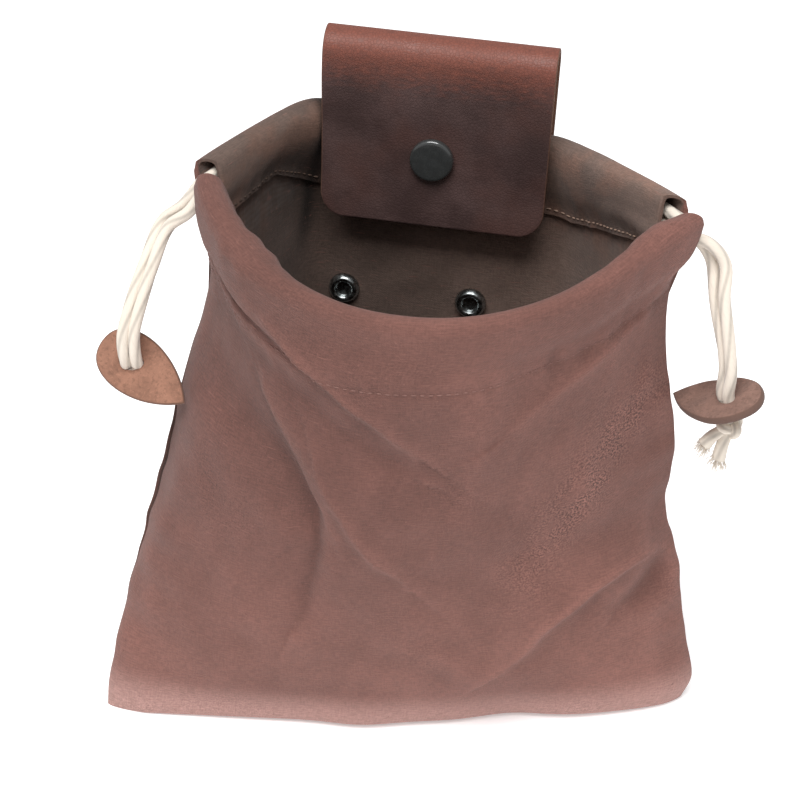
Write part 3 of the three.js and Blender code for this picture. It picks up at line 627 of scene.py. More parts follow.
def cotton_finish(cords):
    """Soft cotton, with painted shade in the grooves between its strands"""
    finish = Finish("cotton_cord", Specular_IOR_Level=0.15, Sheen_Weight=0.3, Sheen_Roughness=0.6)
    _, around, along = finish.surface_map("yarn")
    slant = finish.stretched(around + along * 0.35, along, 2600, 260)
    yarn = finish.noise(slant, 1.0, 3.0)
    # painted shade: darker in the grooves between the strands
    soft = finish.ramp(finish.attribute("crest"), 0.0, 0.75)
    colour = finish.blend(shaded(cords.colour, 0.66), cords.colour, soft)
    finish.colour(finish.blend(colour, shaded(cords.colour, 0.8), finish.ramp(yarn, 0.5, 0.8) * 0.5))
    finish.roughness(finish.ramp(yarn, 0.3, 0.7, 0.82, 0.95))
    finish.relief(yarn + soft * 0.3, 0.18 * MM)
    return finish.material


def fibre_finish(cords):
    finish = Finish("cotton_fibre", Specular_IOR_Level=0.15, Sheen_Weight=0.3, Roughness=0.9)
    place = finish.object_place()
    tint = finish.noise(place, 900, 2.0)
    finish.colour(finish.blend(shaded(cords.colour, 0.8), cords.colour, tint))
    finish.relief(tint, 0.05 * MM)
    return finish.material


def toggle_finish(name, tint):
    """Raw leather, fluffy and spotted, darker on its cut edges"""
    finish = Finish(name, Specular_IOR_Level=0.2, Sheen_Weight=0.1)
    place = finish.object_place()
    cloud = finish.ramp(finish.noise(place, 170, 5.0, 0.65), 0.3, 0.7)
    fluff = finish.noise(place, 1100, 4.0, 0.7)
    spots = finish.patches(place, 800, 2.0, 0.52, 0.68)
    colour = finish.blend(shaded(tint, 0.78), shaded(tint, 1.08), cloud)
    colour = finish.blend(colour, shaded(tint, 1.5), finish.ramp(fluff, 0.5, 0.72) * 0.5)
    colour = finish.blend(colour, shaded(tint, 0.55), spots * 0.5)
    finish.colour(finish.blend(colour, shaded(tint, 0.6), finish.attribute("cut")))
    finish.roughness(finish.ramp(fluff, 0.3, 0.7, 0.78, 0.95))
    finish.relief(fluff + cloud * 0.4, 0.3 * MM, 0.8)
    return finish.material


def floor_finish(stage):
    finish = Finish("pale_floor", Roughness=0.85, Specular_IOR_Level=0.1)
    finish.shader.inputs["Emission Color"].default_value = (1, 1, 1, 1)
    finish.shader.inputs["Emission Strength"].default_value = FLOOR_GLOW
    place = finish.object_place()
    tint = finish.noise(place, 3.0, 2.0)
    finish.colour(finish.blend(shaded(stage.floor, 0.995), stage.floor, tint))
    return finish.material


def new_object(name, mesh, material):
    """An object at the origin with its faces smooth up to a sharp corner"""
    mesh.materials.append(material)
    mesh.shade_smooth()
    made = bpy.data.objects.new(name, mesh)
    bpy.context.scene.collection.objects.link(made)
    return made


def mesh_of(name, points, faces, corner=50, values=None, maps=None):
    """A mesh of points and faces, faces outwards, with point values and UV maps given at its points"""
    mesh = bpy.data.meshes.new(name)
    mesh.from_pydata(np.asarray(points).tolist(), [], [list(map(int, face)) for face in faces])
    shell = bmesh.new()
    shell.from_mesh(mesh)
    bmesh.ops.recalc_face_normals(shell, faces=shell.faces)
    shell.to_mesh(mesh)
    shell.free()
    for title, data in (values or {}).items():
        layer = mesh.attributes.new(title, "FLOAT", "POINT")
        layer.data.foreach_set("value", np.ravel(data).astype(np.float32))
    corners = np.empty(len(mesh.loops), dtype=np.int32)
    mesh.loops.foreach_get("vertex_index", corners)
    for title, data in (maps or {}).items():
        flat = np.asarray(data, dtype=np.float32).reshape(-1, 2)
        mesh.uv_layers.new(name=title).data.foreach_set("uv", flat[corners].ravel())
    mesh.set_sharp_from_angle(angle=math.radians(corner))
    return mesh


def finished(piece, slot, *nodes):
    """Puts a piece on the pouch's body and in place of its solids; slot is not used"""
    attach(piece, "root")
    if nodes:
        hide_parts(*nodes)


def unit(vectors):
    return vectors / np.maximum(np.linalg.norm(vectors, axis=-1, keepdims=True), 1e-12)


def run_along(points):
    """Length along a line at each of its points"""
    return np.concatenate(([0.0], np.cumsum(np.linalg.norm(np.diff(points, axis=0), axis=1))))


def evenly(points, step):
    """A line's points again, evenly spaced"""
    run = run_along(points)
    at = np.linspace(0, run[-1], max(2, int(round(run[-1] / step)) + 1))
    return np.column_stack([np.interp(at, run, points[:, k]) for k in range(points.shape[1])])


def curve_through(points, pieces=12):
    """A centripetal Catmull-Rom curve through points of any dimension"""
    points = np.asarray(points, dtype=float)
    points = np.vstack((2 * points[0] - points[1], points, 2 * points[-1] - points[-2]))
    line = []
    for a, b, c, d in zip(points, points[1:], points[2:], points[3:]):
        t1 = max(np.linalg.norm(b - a), 1e-9) ** 0.5
        t2 = t1 + max(np.linalg.norm(c - b), 1e-9) ** 0.5
        t3 = t2 + max(np.linalg.norm(d - c), 1e-9) ** 0.5
        for t in np.linspace(t1, t2, pieces, endpoint=False):
            ab = a + (b - a) * t / t1
            bc = b + (c - b) * (t - t1) / (t2 - t1)
            cd = c + (d - c) * (t - t2) / (t3 - t2)
            abc = ab + (bc - ab) * t / t2
            bcd = bc + (cd - bc) * (t - t1) / (t3 - t1)
            line.append(abc + (bcd - abc) * (t - t1) / (t2 - t1))
    line.append(points[-2])
    return np.array(line)


def smoothly(value, low, high):
    t = np.clip((value - low) / (high - low), 0, 1)
    return t * t * (3 - 2 * t)


def bump(value, at, wide):
    """A smooth hump of height 1"""
    return np.exp(-(((value - at) / wide) ** 2))


def arc(value):
    """Height of a unit circle above each place on its diameter"""
    return np.sqrt(np.clip(1 - value**2, 0, 1))


def softened(grid, reach):
    """A grid of values blurred over a number of its rows and columns"""
    weights = bump(np.arange(-2 * reach, 2 * reach + 1), 0, reach)
    weights /= weights.sum()

    def blurred(line):
        return np.convolve(np.pad(line, 2 * reach, "edge"), weights, "valid")

    return np.apply_along_axis(blurred, 1, np.apply_along_axis(blurred, 0, grid))


SECTION = {
    name: np.array([row[k] for row in SECTION_ROWS]) * (1 if name == "point" else MM)
    for k, name in enumerate(SECTION_COLUMNS)
}


def column(name, height):
    """Smooth value of one section column at a height of the side seams"""
    at, values = SECTION["height"], SECTION[name]
    last = len(at) - 1
    k = int(np.clip(np.searchsorted(at, height, side="right") - 1, 0, last - 1))

    def slope(i):
        low, high = max(i - 1, 0), min(i + 1, last)
        return (values[high] - values[low]) / (at[high] - at[low])

    run = at[k + 1] - at[k]
    t = (height - at[k]) / run
    ease = t * t * (3 - 2 * t)
    leave = t * (1 - t) ** 2 * run * slope(k)
    arrive = t * t * (t - 1) * run * slope(k + 1)
    return values[k] + (values[k + 1] - values[k]) * ease + leave + arrive


def edge_share(side, height):
    """Share of a wall's depth that is left where it rounds into the bottom"""
    return 1 - TUCK[side] * (1 - arc(1 - min(height, EDGE) / EDGE))


def seam_wave(height, end):
    """Small sideways and back-and-forth waves of a crumpled side seam"""
    calm = smoothly(height, *CRUMPLE_STARTS) * (1 - smoothly(height, *CRUMPLE_ENDS))
    across = SEAM_CRUMPLE[end] * ripple(height, 0, 16 * MM, SEAM_SEED[end], 6)
    deep = 4 * SEAM_CRUMPLE[end] * ripple(height, 0, 15 * MM, SEAM_SEED[end] + 1, 6)
    return calm * across, calm * deep


def seam_shape(side, height, x, left, right):
    """How a level leaves its plain course near the two seams: crumpled low down, raised at the rim"""
    shape = np.zeros((len(x), 3))
    high = smoothly(height, FLARE_FOOT, RIM)
    for end, seam in (("left", left), ("right", right)):
        across, deep = seam_wave(height, end)
        near = bump(x, seam, SEAM_REACH)[:, None]
        out, up = np.array(CORNERS[side, end]) * MM * high
        shape += near * (across + OUTWARD[end] * out, deep, up)
        if side == FRONT:
            shape[:, 2] -= NOSE_DROP[end] * high * bump(x, seam, TIP_REACH)
            inwards = BACK_PEEK[end] * bump(height, *PEEK_ZONE) * bump(x, seam, PEEK_REACH)
        else:
            inwards = BACK_TUCK[end] * bump(height, *TUCK_ZONE) * near[:, 0]
        shape[:, 0] -= OUTWARD[end] * inwards
    return shape


def humps(table, x):
    """A sum of smooth humps, each a row of height, place and width in millimetres"""
    return sum(height * MM * bump(x, at * MM, wide * MM) for height, at, wide in table)


def foot_draw(x, height):
    """How far the foot of the front wall stands back on the two sides of the hump in its middle"""
    drawn = FOOT_DEPTH * (1 - np.clip(np.abs(x) / FOOT_HALF, 0, 1) ** 4) + humps(FOOT_HUMPS, x)
    return drawn * (1 - smoothly(height, *FOOT_FADE))


def rim_sway(x, height):
    """How the back rim rises and dips along its run"""
    return humps(RIM_HUMPS, x) * smoothly(height, RIM_FOOT, RIM)


def back_share(x, left, right, flat, bend):
    """Rises from 0 at each seam to 1 over the flat of the back wall, with soft bends"""
    on_left = x < (left + right) / 2
    run = np.where(on_left, -flat - left, right - flat)
    ramp = np.where(on_left, x - left, right - x) / run
    bend = bend / run
    past = np.maximum(0, ramp - 1 + bend)
    return np.where(ramp > 1 + bend, 1, ramp - past * past / (4 * bend))


def level(side, height, inset, shares):
    """One level of a wall from the left seam to the right one, at shares of its run along the cloth.

    inset is how far the layer lies inside the outer face.
    """
    row = {name: column(name, height) for name in SECTION_COLUMNS[1:]}
    slit = row["slit"]
    short = BACK_SHORT * slit if side == BACK else 0
    left = row["left_x"] + CORNER_INSET * inset
    right = row["right_x"] - CORNER_INSET * inset - short
    skew = np.interp(height, *FRONT_SKEW) if side == FRONT else 0
    angle = np.linspace(-math.pi / 2, math.pi / 2, LEVEL_STEPS)
    sine, cosine = np.sin(angle), np.clip(np.cos(angle), 0, None)
    x = (left + right) / 2 + (right - left) / 2 * (sine + skew * cosine**2)
    share = (x - row["left_x"]) / (row["right_x"] - row["left_x"])
    seam_y = row["left_y"] + share * (row["right_y"] - row["left_y"])
    sag = 1 - np.abs(sine) ** 2.5
    if side == FRONT:
        bulge = cosine ** (row["point"] + POINT_DRIFT * sine * min(1, height / (120 * MM)))
        y = seam_y - slit - ((row["front"] - slit) * edge_share(side, height) - inset) * bulge
        y = y + foot_draw(x, height)
        z = height - FRONT_SINK * height / RIM * sag
    else:
        bend = np.interp(height, (0, 130 * MM), (FOOT_BEND, BEND))
        rise = back_share(x, left, right, row["flat"] - FLAT_INSET * inset, bend)
        y = seam_y + slit + ((row["back_y"] - seam_y - slit) * edge_share(side, height) - inset) * rise
        z = height - (BACK_SINK * sag + BACK_TILT * x * (1 - sine**2)) * height / RIM + rim_sway(x, height)
    line = np.column_stack((x, y, z)) + seam_shape(side, height, x, left, right) + SHIFT
    run = run_along(line)
    at = np.asarray(shares) * run[-1]
    return np.column_stack([np.interp(at, run, line[:, k]) for k in range(3)])


def nearest_on(line, across, up):
    """Distance to a bent line, the share of it at its nearest place, and the side of it as a sign"""
    nearest, along, turn = np.inf, 0.0, 0.0
    for k, ((x, y), (dx, dy)) in enumerate(zip(line, np.diff(line, axis=0))):
        px, py = across - x, up - y
        share = np.clip((px * dx + py * dy) / (dx * dx + dy * dy), 0, 1)
        px, py = px - share * dx, py - share * dy
        distance = np.hypot(px, py)
        closer = distance < nearest
        nearest = np.where(closer, distance, nearest)
        along = np.where(closer, (k + share) / (len(line) - 1), along)
        turn = np.where(closer, dx * py - dy * px, turn)
    return nearest, along, turn


def fold_field(folds, across, up):
    """How far a table of folds lifts the cloth"""
    lift = np.zeros(np.broadcast(across, up).shape)
    across, up = (
        place + 0.8 * MM * ripple(across, up, 26 * MM, seed) for place, seed in ((across, 71), (up, 72))
    )
    t = np.linspace(0, 1, FOLD_STEPS)[:, None]
    weights = ((1 - t) ** 2, 2 * t * (1 - t), t * t)
    for row in folds:
        fold = {name: value * MM for name, value in zip(FOLD_COLUMNS, row)}
        bends = [np.array((fold[key + "_across"], fold[key + "_up"])) for key in ("from", "via", "to")]
        line = sum(weight * bend for weight, bend in zip(weights, bends))
        nearest, along, turn = nearest_on(line, across, up)
        width = np.where(turn > 0, fold["left"], fold["right"])
        fade = np.sin(math.pi * (0.12 + 0.76 * along))
        lift += fold["lift"] * fade * np.exp(-((nearest / width) ** (fold["blunt"] / MM)))
    return lift


def ripple(across, up, wavelength, seed, count=14):
    """Smooth random waves of about one wavelength"""
    random = np.random.default_rng(seed)
    total = 0
    for _ in range(count):
        angle, phase = random.uniform(0, 2 * math.pi, 2)
        turns = 2 * math.pi / (wavelength * random.uniform(0.7, 1.5))
        total = total + np.sin(turns * (across * math.cos(angle) + up * math.sin(angle)) + phase)
    return total / math.sqrt(count)


def cloth_lift(side, across, up):
    """How far folds, soft waves and the hem's puckers lift a wall"""
    folds = fold_field(FRONT_FOLDS if side == FRONT else BACK_FOLDS, across, up)
    waves = sum(high * MM * ripple(across, up, long * MM, seed + side) for high, long, seed in SOFT_WAVES)
    seam = smoothly(HALF_CLOTH - np.abs(across), 0, 12 * MM)
    ends = smoothly(up, 4 * MM, 24 * MM) * smoothly(RIM - up, 10 * MM, 26 * MM)
    below = RIM - up
    pucker = 0.22 * MM * ripple(across, 0.25 * up, 8 * MM, 21 + side) * bump(below, STITCH_BELOW, 7 * MM)
    pucker = pucker - 0.18 * MM * bump(below, STITCH_BELOW, 1.1 * MM)
    return (folds + waves) * seam * ends + pucker * seam


def casing_puff(side, across, up, inset):
    """How far the casing's two layers stand apart round the cords: a fat tube at its gathered ends"""
    below = RIM - up
    at_left = 1 - smoothly(across, *GATHERED["left"])
    at_right = smoothly(across, *GATHERED["right"])
    if side == BACK:
        at_left, at_right = BACK_GATHER * at_left, BACK_GATHER * at_right
    half = CASING_TALL / 2 - 4 * MM * at_left
    tube = arc((below - half) / half)
    wrinkle = 1 + 0.3 * ripple(across, 0.3 * below, 24 * MM, 31 + side, 5)
    wrinkle = wrinkle + 0.16 * ripple(across, 0.4 * below, 9 * MM, 41 + side, 6)
    tapered = at_left * (0.3 + 0.7 * smoothly(across, -108 * MM, -66 * MM))
    puff = (PUFF["hem"] + PUFF["left"] * tapered + PUFF["right"] * at_right) * wrinkle
    nose = arc(1 - np.clip((HALF_CLOTH - np.abs(across)) / NOSE, 0.02, 1))
    pinch = PINCH * at_left * bump(below, 2 * half + 1.8 * MM, 2.2 * MM)
    apart = 1 - 2 * inset / CASING
    swell = (puff * tube - pinch) * nose * np.where(apart > 0, 0.5 * apart, apart)
    if side == BACK:
        lips = bump(across, PLEAT, 16 * MM) * (1 - bump(across, PLEAT, 2.4 * MM))
        swell = swell - 2.2 * MM * lips * np.clip(-apart, 0, 1)
    return swell


def hem_climb(side, across, up, inset):
    """How far the turned hem's lower edge climbs towards the two ends of the back wall"""
    below = RIM - up
    to_left = 0.42 * np.clip((-across - 48 * MM) / (22 * MM), 0, 1)
    to_right = 0.4 * np.clip((across - 47 * MM) / (44 * MM), 0, 1)
    turned = (side == BACK) & (inset > 0.7 * MM) & (below < HEM_EDGE + 0.1 * MM)
    return (to_left + to_right) * turned * below


def wall(side, rows, shares):
    """Rows of cloth points, each at a (height, inset), pushed out square to the cloth by its folds"""
    base = np.array([level(side, height, inset, shares) for height, inset in rows])
    outward = across_wall(side, base)
    across = HALF_CLOTH * (2 * np.asarray(shares)[None, :] - 1)
    heights, insets = (np.array(values)[:, None] for values in zip(*rows))
    lift = cloth_lift(side, across, heights) + casing_puff(side, across, heights, insets)
    base[..., 2] += hem_climb(side, across, heights, insets)
    return base + outward * lift[..., None], lift


def across_wall(side, rows):
    """Level directions out of a wall, from the run of its rows"""
    along = np.gradient(rows, axis=-2)
    flat = np.stack((-along[..., 1], along[..., 0], np.zeros_like(along[..., 0])), axis=-1)
    return side * unit(flat)


def floor_level(side, share, z, inset, shares):
    """A level of the bottom: share 0 lies along the bottom seam, share 1 under the foot of the wall"""
    foot = level(side, z, inset, shares)
    left, right = level(FRONT, 0, 0, (0, 1))
    seam_y = np.interp(foot[:, 0], (left[0], right[0]), (left[1], right[1]))
    return np.column_stack((foot[:, 0], seam_y + share * (foot[:, 1] - seam_y), np.full(len(foot), z)))


def profile_rows(profile, pieces):
    """A hem profile drawn out smoothly, as (height, inset) rows"""
    line = curve_through(np.array(profile) * MM, pieces)
    return [(RIM - below, inset) for below, inset in line]


def panel_rows(canvas):
    """The (height, inset) rows of a wall's outside, turned hem and inside"""
    outer = [*(np.array(FOOT_ROWS) * MM), *np.arange(7.6 * MM, RIM - 4.6 * MM, 1.15 * MM)]
    inner = [*np.arange(RIM - HEM_EDGE - 2 * MM, 8 * MM, -2.6 * MM), 6 * MM, 4 * MM, 2.6 * MM, canvas]
    hem = profile_rows(HEM_PROFILE, 4) + [(RIM - HEM_EDGE, 2.1 * canvas), (RIM - HEM_EDGE, canvas)]
    return [(height, 0.0) for height in outer], hem, [(height, canvas) for height in inner]


def panel_values(side, shares, heights, lift, first):
    """A wall's point values for its finish, where the outside's rows of lifts start at a row"""
    last = first + len(lift)
    across = HALF_CLOTH * (2 * shares - 1)
    crease, worn = np.zeros((2, len(heights), len(shares)))
    # crease: the lift's ridges and valleys, for painted light and shade
    crease[first:last] = lift - softened(lift, CREASE_REACH)
    if side == FRONT:
        worn[first:last] = fold_field((WORN_BAND,), across[None, :], heights[first:last, None]) / MM
    inside = np.ones(len(heights))
    inside[: last + RIM_ROWS[side]] = 0
    # where the painted shadow of the pleat lies: the back's inside, high up
    pressed = inside * smoothly(heights, 140 * MM, 165 * MM) * (side == BACK)
    return {
        "crease": crease,
        "inside": np.repeat(inside, len(shares)),
        "rise": np.repeat(heights / RIM, len(shares)),
        "worn": worn,
        "pleat": np.outer(pressed, bump(across, PLEAT, 3.6 * MM)),
    }


def panel_mesh(name, side, canvas):
    """One canvas wall: its half of the bottom, the wall, the turned rim and the casing's open channel"""
    ends = np.linspace(0, 1, 12) ** 1.6 * SEAM_SHARE
    shares = np.concatenate((ends[:-1], np.linspace(SEAM_SHARE, 1 - SEAM_SHARE, 190), 1 - ends[::-1][1:]))
    outer, hem, inner = panel_rows(canvas)
    rows = outer + hem + inner
    points, lift = wall(side, rows, shares)
    channel = profile_rows((*CHANNEL_PROFILE, CHANNEL_PROFILE[0]), 3)[:-1]
    hole, _ = wall(side, channel, shares)
    under = [floor_level(side, share, 0.0, 0.0, shares) for share in FLOOR_SHARES]
    over = [floor_level(side, share, canvas, canvas, shares) for share in FLOOR_SHARES[::-1]]
    skin = np.concatenate((under, points, over))
    run = [(FLOOR_RUN * (share - 1), 0.0) for share in FLOOR_SHARES]
    run += rows + [(FLOOR_RUN * (share - 1), canvas) for share in FLOOR_SHARES[::-1]]

    columns = len(shares)
    faces = ring_quads(len(skin), columns)
    faces += ring_quads(len(hole), columns, len(skin) * columns)
    faces += end_caps(run, channel, columns, len(under) + len(outer))
    heights = np.array([max(0.0, up) for up, _ in (*run, *channel)])
    values = panel_values(side, shares, heights, lift[: len(outer)], len(under))
    across = np.tile(HALF_CLOTH * (2 * shares - 1), len(heights))
    along = np.concatenate((run_along(np.array(run)), run_along(np.array(channel))))
    maps = {"cloth": np.column_stack((across, np.repeat(along, columns)))}
    return mesh_of(name, np.concatenate((skin, hole)).reshape(-1, 3), faces, 60, values, maps)


def ring_quads(rows, columns, first=0):
    """Faces between the rows of a closed outline"""
    row = np.arange(rows)[:, None]
    place = np.arange(columns - 1)[None, :]
    here = first + row * columns + place
    there = first + (row + 1) % rows * columns + place
    return np.stack((here, here + 1, there + 1, there), axis=-1).reshape(-1, 4).tolist()


def end_caps(run, channel, columns, outer_end):
    """Faces that close a wall's cloth at its two side seams: a ladder, then round the channel's mouth"""
    out = [k for k in range(outer_end) if run[k][0] <= CAP_SPLIT]
    back = [k for k in range(len(run) - 1, outer_end, -1) if run[k][0] <= CAP_SPLIT]
    triangles = ladder(run, out, back)
    mouth = list(range(out[-1], back[-1] + 1))
    corners = mouth + list(range(len(run), len(run) + len(channel)))
    loops = [[bowed(run[k], 0.5 * MM, 0.0) for k in mouth]]
    loops.append([bowed(place, -0.3 * MM, CHANNEL_PROFILE[0][1] * MM) for place in channel])
    triangles += [[corners[corner] for corner in triangle] for triangle in tessellate_polygon(loops)]
    near = [[corner * columns for corner in triangle] for triangle in triangles]
    far = [[corner * columns + columns - 1 for corner in triangle] for triangle in triangles]
    return near + far


def bowed(place, dip, straight):
    """A (height, inset) place in an end's plan, where straight rows bow so that no point is passed over"""
    height, inset = place
    middle, reach = (RIM + CAP_SPLIT) / 2, (RIM - CAP_SPLIT) / 2
    on_row = abs(inset - straight) < 0.01 * MM
    return Vector((height, inset + on_row * dip * (1 - ((height - middle) / reach) ** 2), 0))


def ladder(run, out, back):
    """Triangles between two chains of rows that climb side by side"""
    triangles = []
    i, j = 0, 0
    while i < len(out) - 1 or j < len(back) - 1:
        ahead = j == len(back) - 1 or (i < len(out) - 1 and run[out[i + 1]][0] <= run[back[j + 1]][0])
        if ahead:
            triangles.append([out[i], out[i + 1], back[j]])
            i += 1
        else:
            triangles.append([out[i], back[j + 1], back[j]])
            j += 1
    return triangles


def loop_frame(leather):
    """From the strap's own axes to the pouch: across, out of the wall and up"""
    rise = Vector((SHIFT[0], SHIFT[1] + column("back_y", RIM), RIM - BACK_SINK))
    turn = Matrix.Rotation(-leather.lean, 4, "X") @ Matrix.Rotation(leather.roll, 4, "Y")
    return Matrix.Translation(rise) @ turn


def placed(matrix, points):
    turn = np.array(matrix.to_3x3())
    return np.asarray(points) @ turn.T + np.array(matrix.translation)


def strap_path(leather):
    """The strip's middle line as rows of out, up, and the direction out of its grain side"""
    back = GAP + leather.thickness / 2
    front = -(CASING + FLAP_STAND + leather.thickness / 2)
    radius, centre = (back - front) / 2, (back + front) / 2
    top = LOOP_TOP - leather.thickness / 2 - radius
    ends = np.array((0, 0.12, 0.35, 0.8, 1.5, 2.6, 4, 6)) * MM
    rising = np.concatenate((STRAP_BOTTOM + ends, np.linspace(STRAP_BOTTOM + 8 * MM, top, 60)))
    falling = np.concatenate((FLAP_BOTTOM + ends, np.linspace(FLAP_BOTTOM + 8 * MM, top, 40)))[::-1]
    rows = [(back, up, 1, 0) for up in rising]
    for angle in np.linspace(0, math.pi, 34)[1:-1]:
        out, up = math.cos(angle), math.sin(angle)
        rows.append((centre + radius * out, top + radius * up, out, up))
    rows += [(front, up, -1, 0) for up in falling]
    return np.array(rows), top


def strap_outline(half, thick):
    """One cross-section of the strip: rows of across, out, share of raw cut and share of flesh side"""
    face = half - SOFT_CUT
    edge = []
    for angle in np.linspace(0, math.pi / 2, 4)[1:]:
        out = thick - SOFT_CUT * (1 - math.cos(angle))
        edge.append((face + SOFT_CUT * math.sin(angle), out, min(1, 1.6 * angle)))
    for angle in np.linspace(0, math.pi / 2, 4)[:-1]:
        out = SOFT_CUT * (1 - math.sin(angle)) - thick
        edge.append((face + SOFT_CUT * math.cos(angle), out, 1.0))
    spread = np.linspace(-1, 1, 56) * face
    rows = [(x, thick, 0.0, 0.0) for x in spread]
    rows += [(x, out, cut, 0.0) for x, out, cut in edge]
    rows += [(x, -thick, 0.0, 1.0) for x in spread[::-1]]
    rows += [(-x, out, cut, 0.0) for x, out, cut in edge[::-1]]
    return np.array(rows)


def strap_mesh(name, leather):
    """The leather strip with soft cut edges, rounded corners, a dip at the snap and a slight wave"""
    path, top = strap_path(leather)
    run = run_along(path[:, :2])
    to_end = np.minimum(run, run[-1] - run)
    halves = leather.width / 2 - leather.corner * (1 - arc(np.clip(1 - to_end / leather.corner, 0, 1)))
    thicks = leather.thickness / 2 - 0.8 * SOFT_CUT * (1 - arc(np.clip(1 - to_end / SOFT_CUT, 0, 1)))
    points, marks, hide = [], [], []
    for (out, up, n_out, n_up), half, thick, along in zip(path, halves, thicks, run):
        across, lift, cut, flesh = strap_outline(half, thick).T
        narrowing = FLAP_TAPER * (n_out < 0) * smoothly(top - up, 0, 50 * MM)
        across = across * (1 - narrowing * (across < 0))
        lift = lift + strap_wave(across, up, n_out)
        points.append(np.column_stack((across, out + n_out * lift, up + n_up * lift)))
        # bend: where the grain is drawn paler and a painted highlight lies over the fold
        marks.append((cut, flesh, np.full(len(across), smoothly(up, top - 20 * MM, top + 6 * MM))))
        hide.append(np.column_stack((across, np.full(len(across), along))))
    values = dict(zip(("cut", "flesh", "bend"), np.stack(marks, axis=1)))
    flat = placed(loop_frame(leather), np.concatenate(points))
    return mesh_of(name, flat, tube_faces(*np.shape(hide)[:2]), 45, values, {"hide": np.concatenate(hide)})


def strap_wave(across, up, outward):
    """How the flap bows: drawn in at the snap, a little loose at its lower edge"""
    if outward > 0:
        return 0 * across
    flap = smoothly(-outward, 0, 1)
    snap = bump(across, SNAP_AT[0], 11 * MM) * bump(up, SNAP_AT[1], 11 * MM)
    loose = smoothly(SNAP_AT[1] - up, 6 * MM, 26 * MM)
    return flap * (-0.5 * MM * snap + 0.9 * MM * loose + 0.3 * MM * ripple(across, up, 38 * MM, 3))


def tube_faces(rings, sides):
    """Faces of a tube of rings of points, with its two ends filled"""
    ring = np.arange(rings - 1)[:, None]
    side = np.arange(sides)[None, :]
    here, there = ring * sides + side, ring * sides + (side + 1) % sides
    faces = np.stack((here, there, there + sides, here + sides), axis=-1).reshape(-1, 4).tolist()
    last = (rings - 1) * sides
    return faces + [list(range(sides))[::-1], list(range(last, last + sides))]


def turned_mesh(name, profile, at, leather, segments=56):
    """A turned piece from rows of radius and place out of the wall, closed on its axis"""
    angles = np.linspace(0, 2 * math.pi, segments, endpoint=False)
    rings = [
        np.column_stack((at[0] + r * np.cos(angles), np.full(segments, y), at[1] + r * np.sin(angles)))
        for r, y in profile
    ]
    points = np.concatenate(rings)
    behind = {"behind": points[:, 1] > 0}
    flat = placed(loop_frame(leather), points)
    return mesh_of(name, flat, tube_faces(len(profile), segments), 40, behind)


def soft_profile(*corners):
    """A turned profile with its corners, given as (radius, out, rounding), broken by small arcs"""
    corners = np.array(corners, dtype=float) * MM
    rows = [tuple(corners[0][:2])]
    for before, here, after in zip(corners, corners[1:], corners[2:]):
        start = here[:2] + unit(before[:2] - here[:2]) * here[2]
        end = here[:2] + unit(after[:2] - here[:2]) * here[2]
        for t in np.linspace(0, 1, 6 if here[2] > 0 else 1):
            rows.append(tuple((1 - t) ** 2 * start + 2 * t * (1 - t) * here[:2] + t * t * end))
    rows.append(tuple(corners[-1][:2]))
    return rows


def cap_profile(leather):
    """The snap's domed cap in front of the flap, its shank and its socket behind"""
    front = -(CASING + FLAP_STAND + leather.thickness + GAP) / MM
    back = -(CASING + FLAP_STAND) / MM
    cap = leather.cap / MM
    return soft_profile(
        (AXIS, front - 2.3, 0), (cap - 2.4, front - 2.25, 0.8), (cap - 0.1, front - 2.1, 1),
        (cap, front + 0.1, 0.3), (cap - 1, front + 0.3, 0.2), (SHANK, front + 0.3, 0),
        (SHANK, back + 0.3, 0), (5.5, back + 0.3, 0.15), (5.5, back + 0.8, 0.2), (4, back + 1.8, 0.3),
        (2.9, back + 1.8, 0.2), (2.9, back + 0.7, 0), (AXIS, back + 0.7, 0),
    )


def rivet_back(leather):
    """The part of a profile that holds a snap behind the strap"""
    behind = (GAP * 2 + leather.thickness) / MM
    ring = leather.ring / MM
    return (
        (SHANK, behind, 0), (ring, behind, 0.1), (ring, behind + 0.4, 0.25),
        (3.4, behind + 1, 0.8), (AXIS, behind + 1.2, 0),
    )


def stud_profile(leather):
    """The stud that the cap's socket closes on, through the casing and the strap"""
    face = -(CASING + GAP) / MM
    ring = leather.ring / MM
    return soft_profile(
        (AXIS, face - 2.1, 0), (2.3, face - 2, 0.4), (2.3, face - 0.6, 0.2), (ring, face - 0.6, 0.25),
        (ring, face, 0), (SHANK, face, 0), *rivet_back(leather),
    )


def ring_profile(leather, canvas):
    """A ring rivet with a hollow middle, through the wall and the strap"""
    face = -canvas / MM
    ring = leather.ring / MM
    return soft_profile(
        (AXIS, face - 0.9, 0), (2.75, face - 0.9, 0.2), (2.95, face - 2.5, 0.5), (4.3, face - 2.9, 0.7),
        (ring, face - 1.4, 0.8), (ring, face - 0.3, 0.2), (SHANK, face - 0.3, 0), *rivet_back(leather),
    )


def toggle_frame(place):
    """A leaf's own axes: along it, across it and out of its face"""
    long = Vector(place["long"]).normalized()
    face = Vector(place["face"])
    face = (face - long * face.dot(long)).normalized()
    turn = Matrix((long, face.cross(long), face)).transposed().to_4x4()
    return Matrix.Translation(Vector(np.array(place["centre"]) * MM + SHIFT)) @ turn


def on_toggle(place, along, across, out):
    return np.array(toggle_frame(place) @ Vector((along, across, out)))


def leaf_outline(cords):
    """The leaf's edge, from its tip round its blunt end and back to the tip"""
    end, wide = cords.toggle_length / 2, cords.toggle_width / 2
    corners = np.array(((end, 0), (0.3 * end, 1.25 * wide), (-end, 1.25 * wide), (-end, 0)))
    t = np.linspace(0, 1, 60)[:, None]
    weights = ((1 - t) ** 3, 3 * t * (1 - t) ** 2, 3 * t * t * (1 - t), t**3)
    upper = sum(w * corner for w, corner in zip(weights, corners))
    return np.vstack((upper, (upper * (1, -1))[::-1][1:-1]))


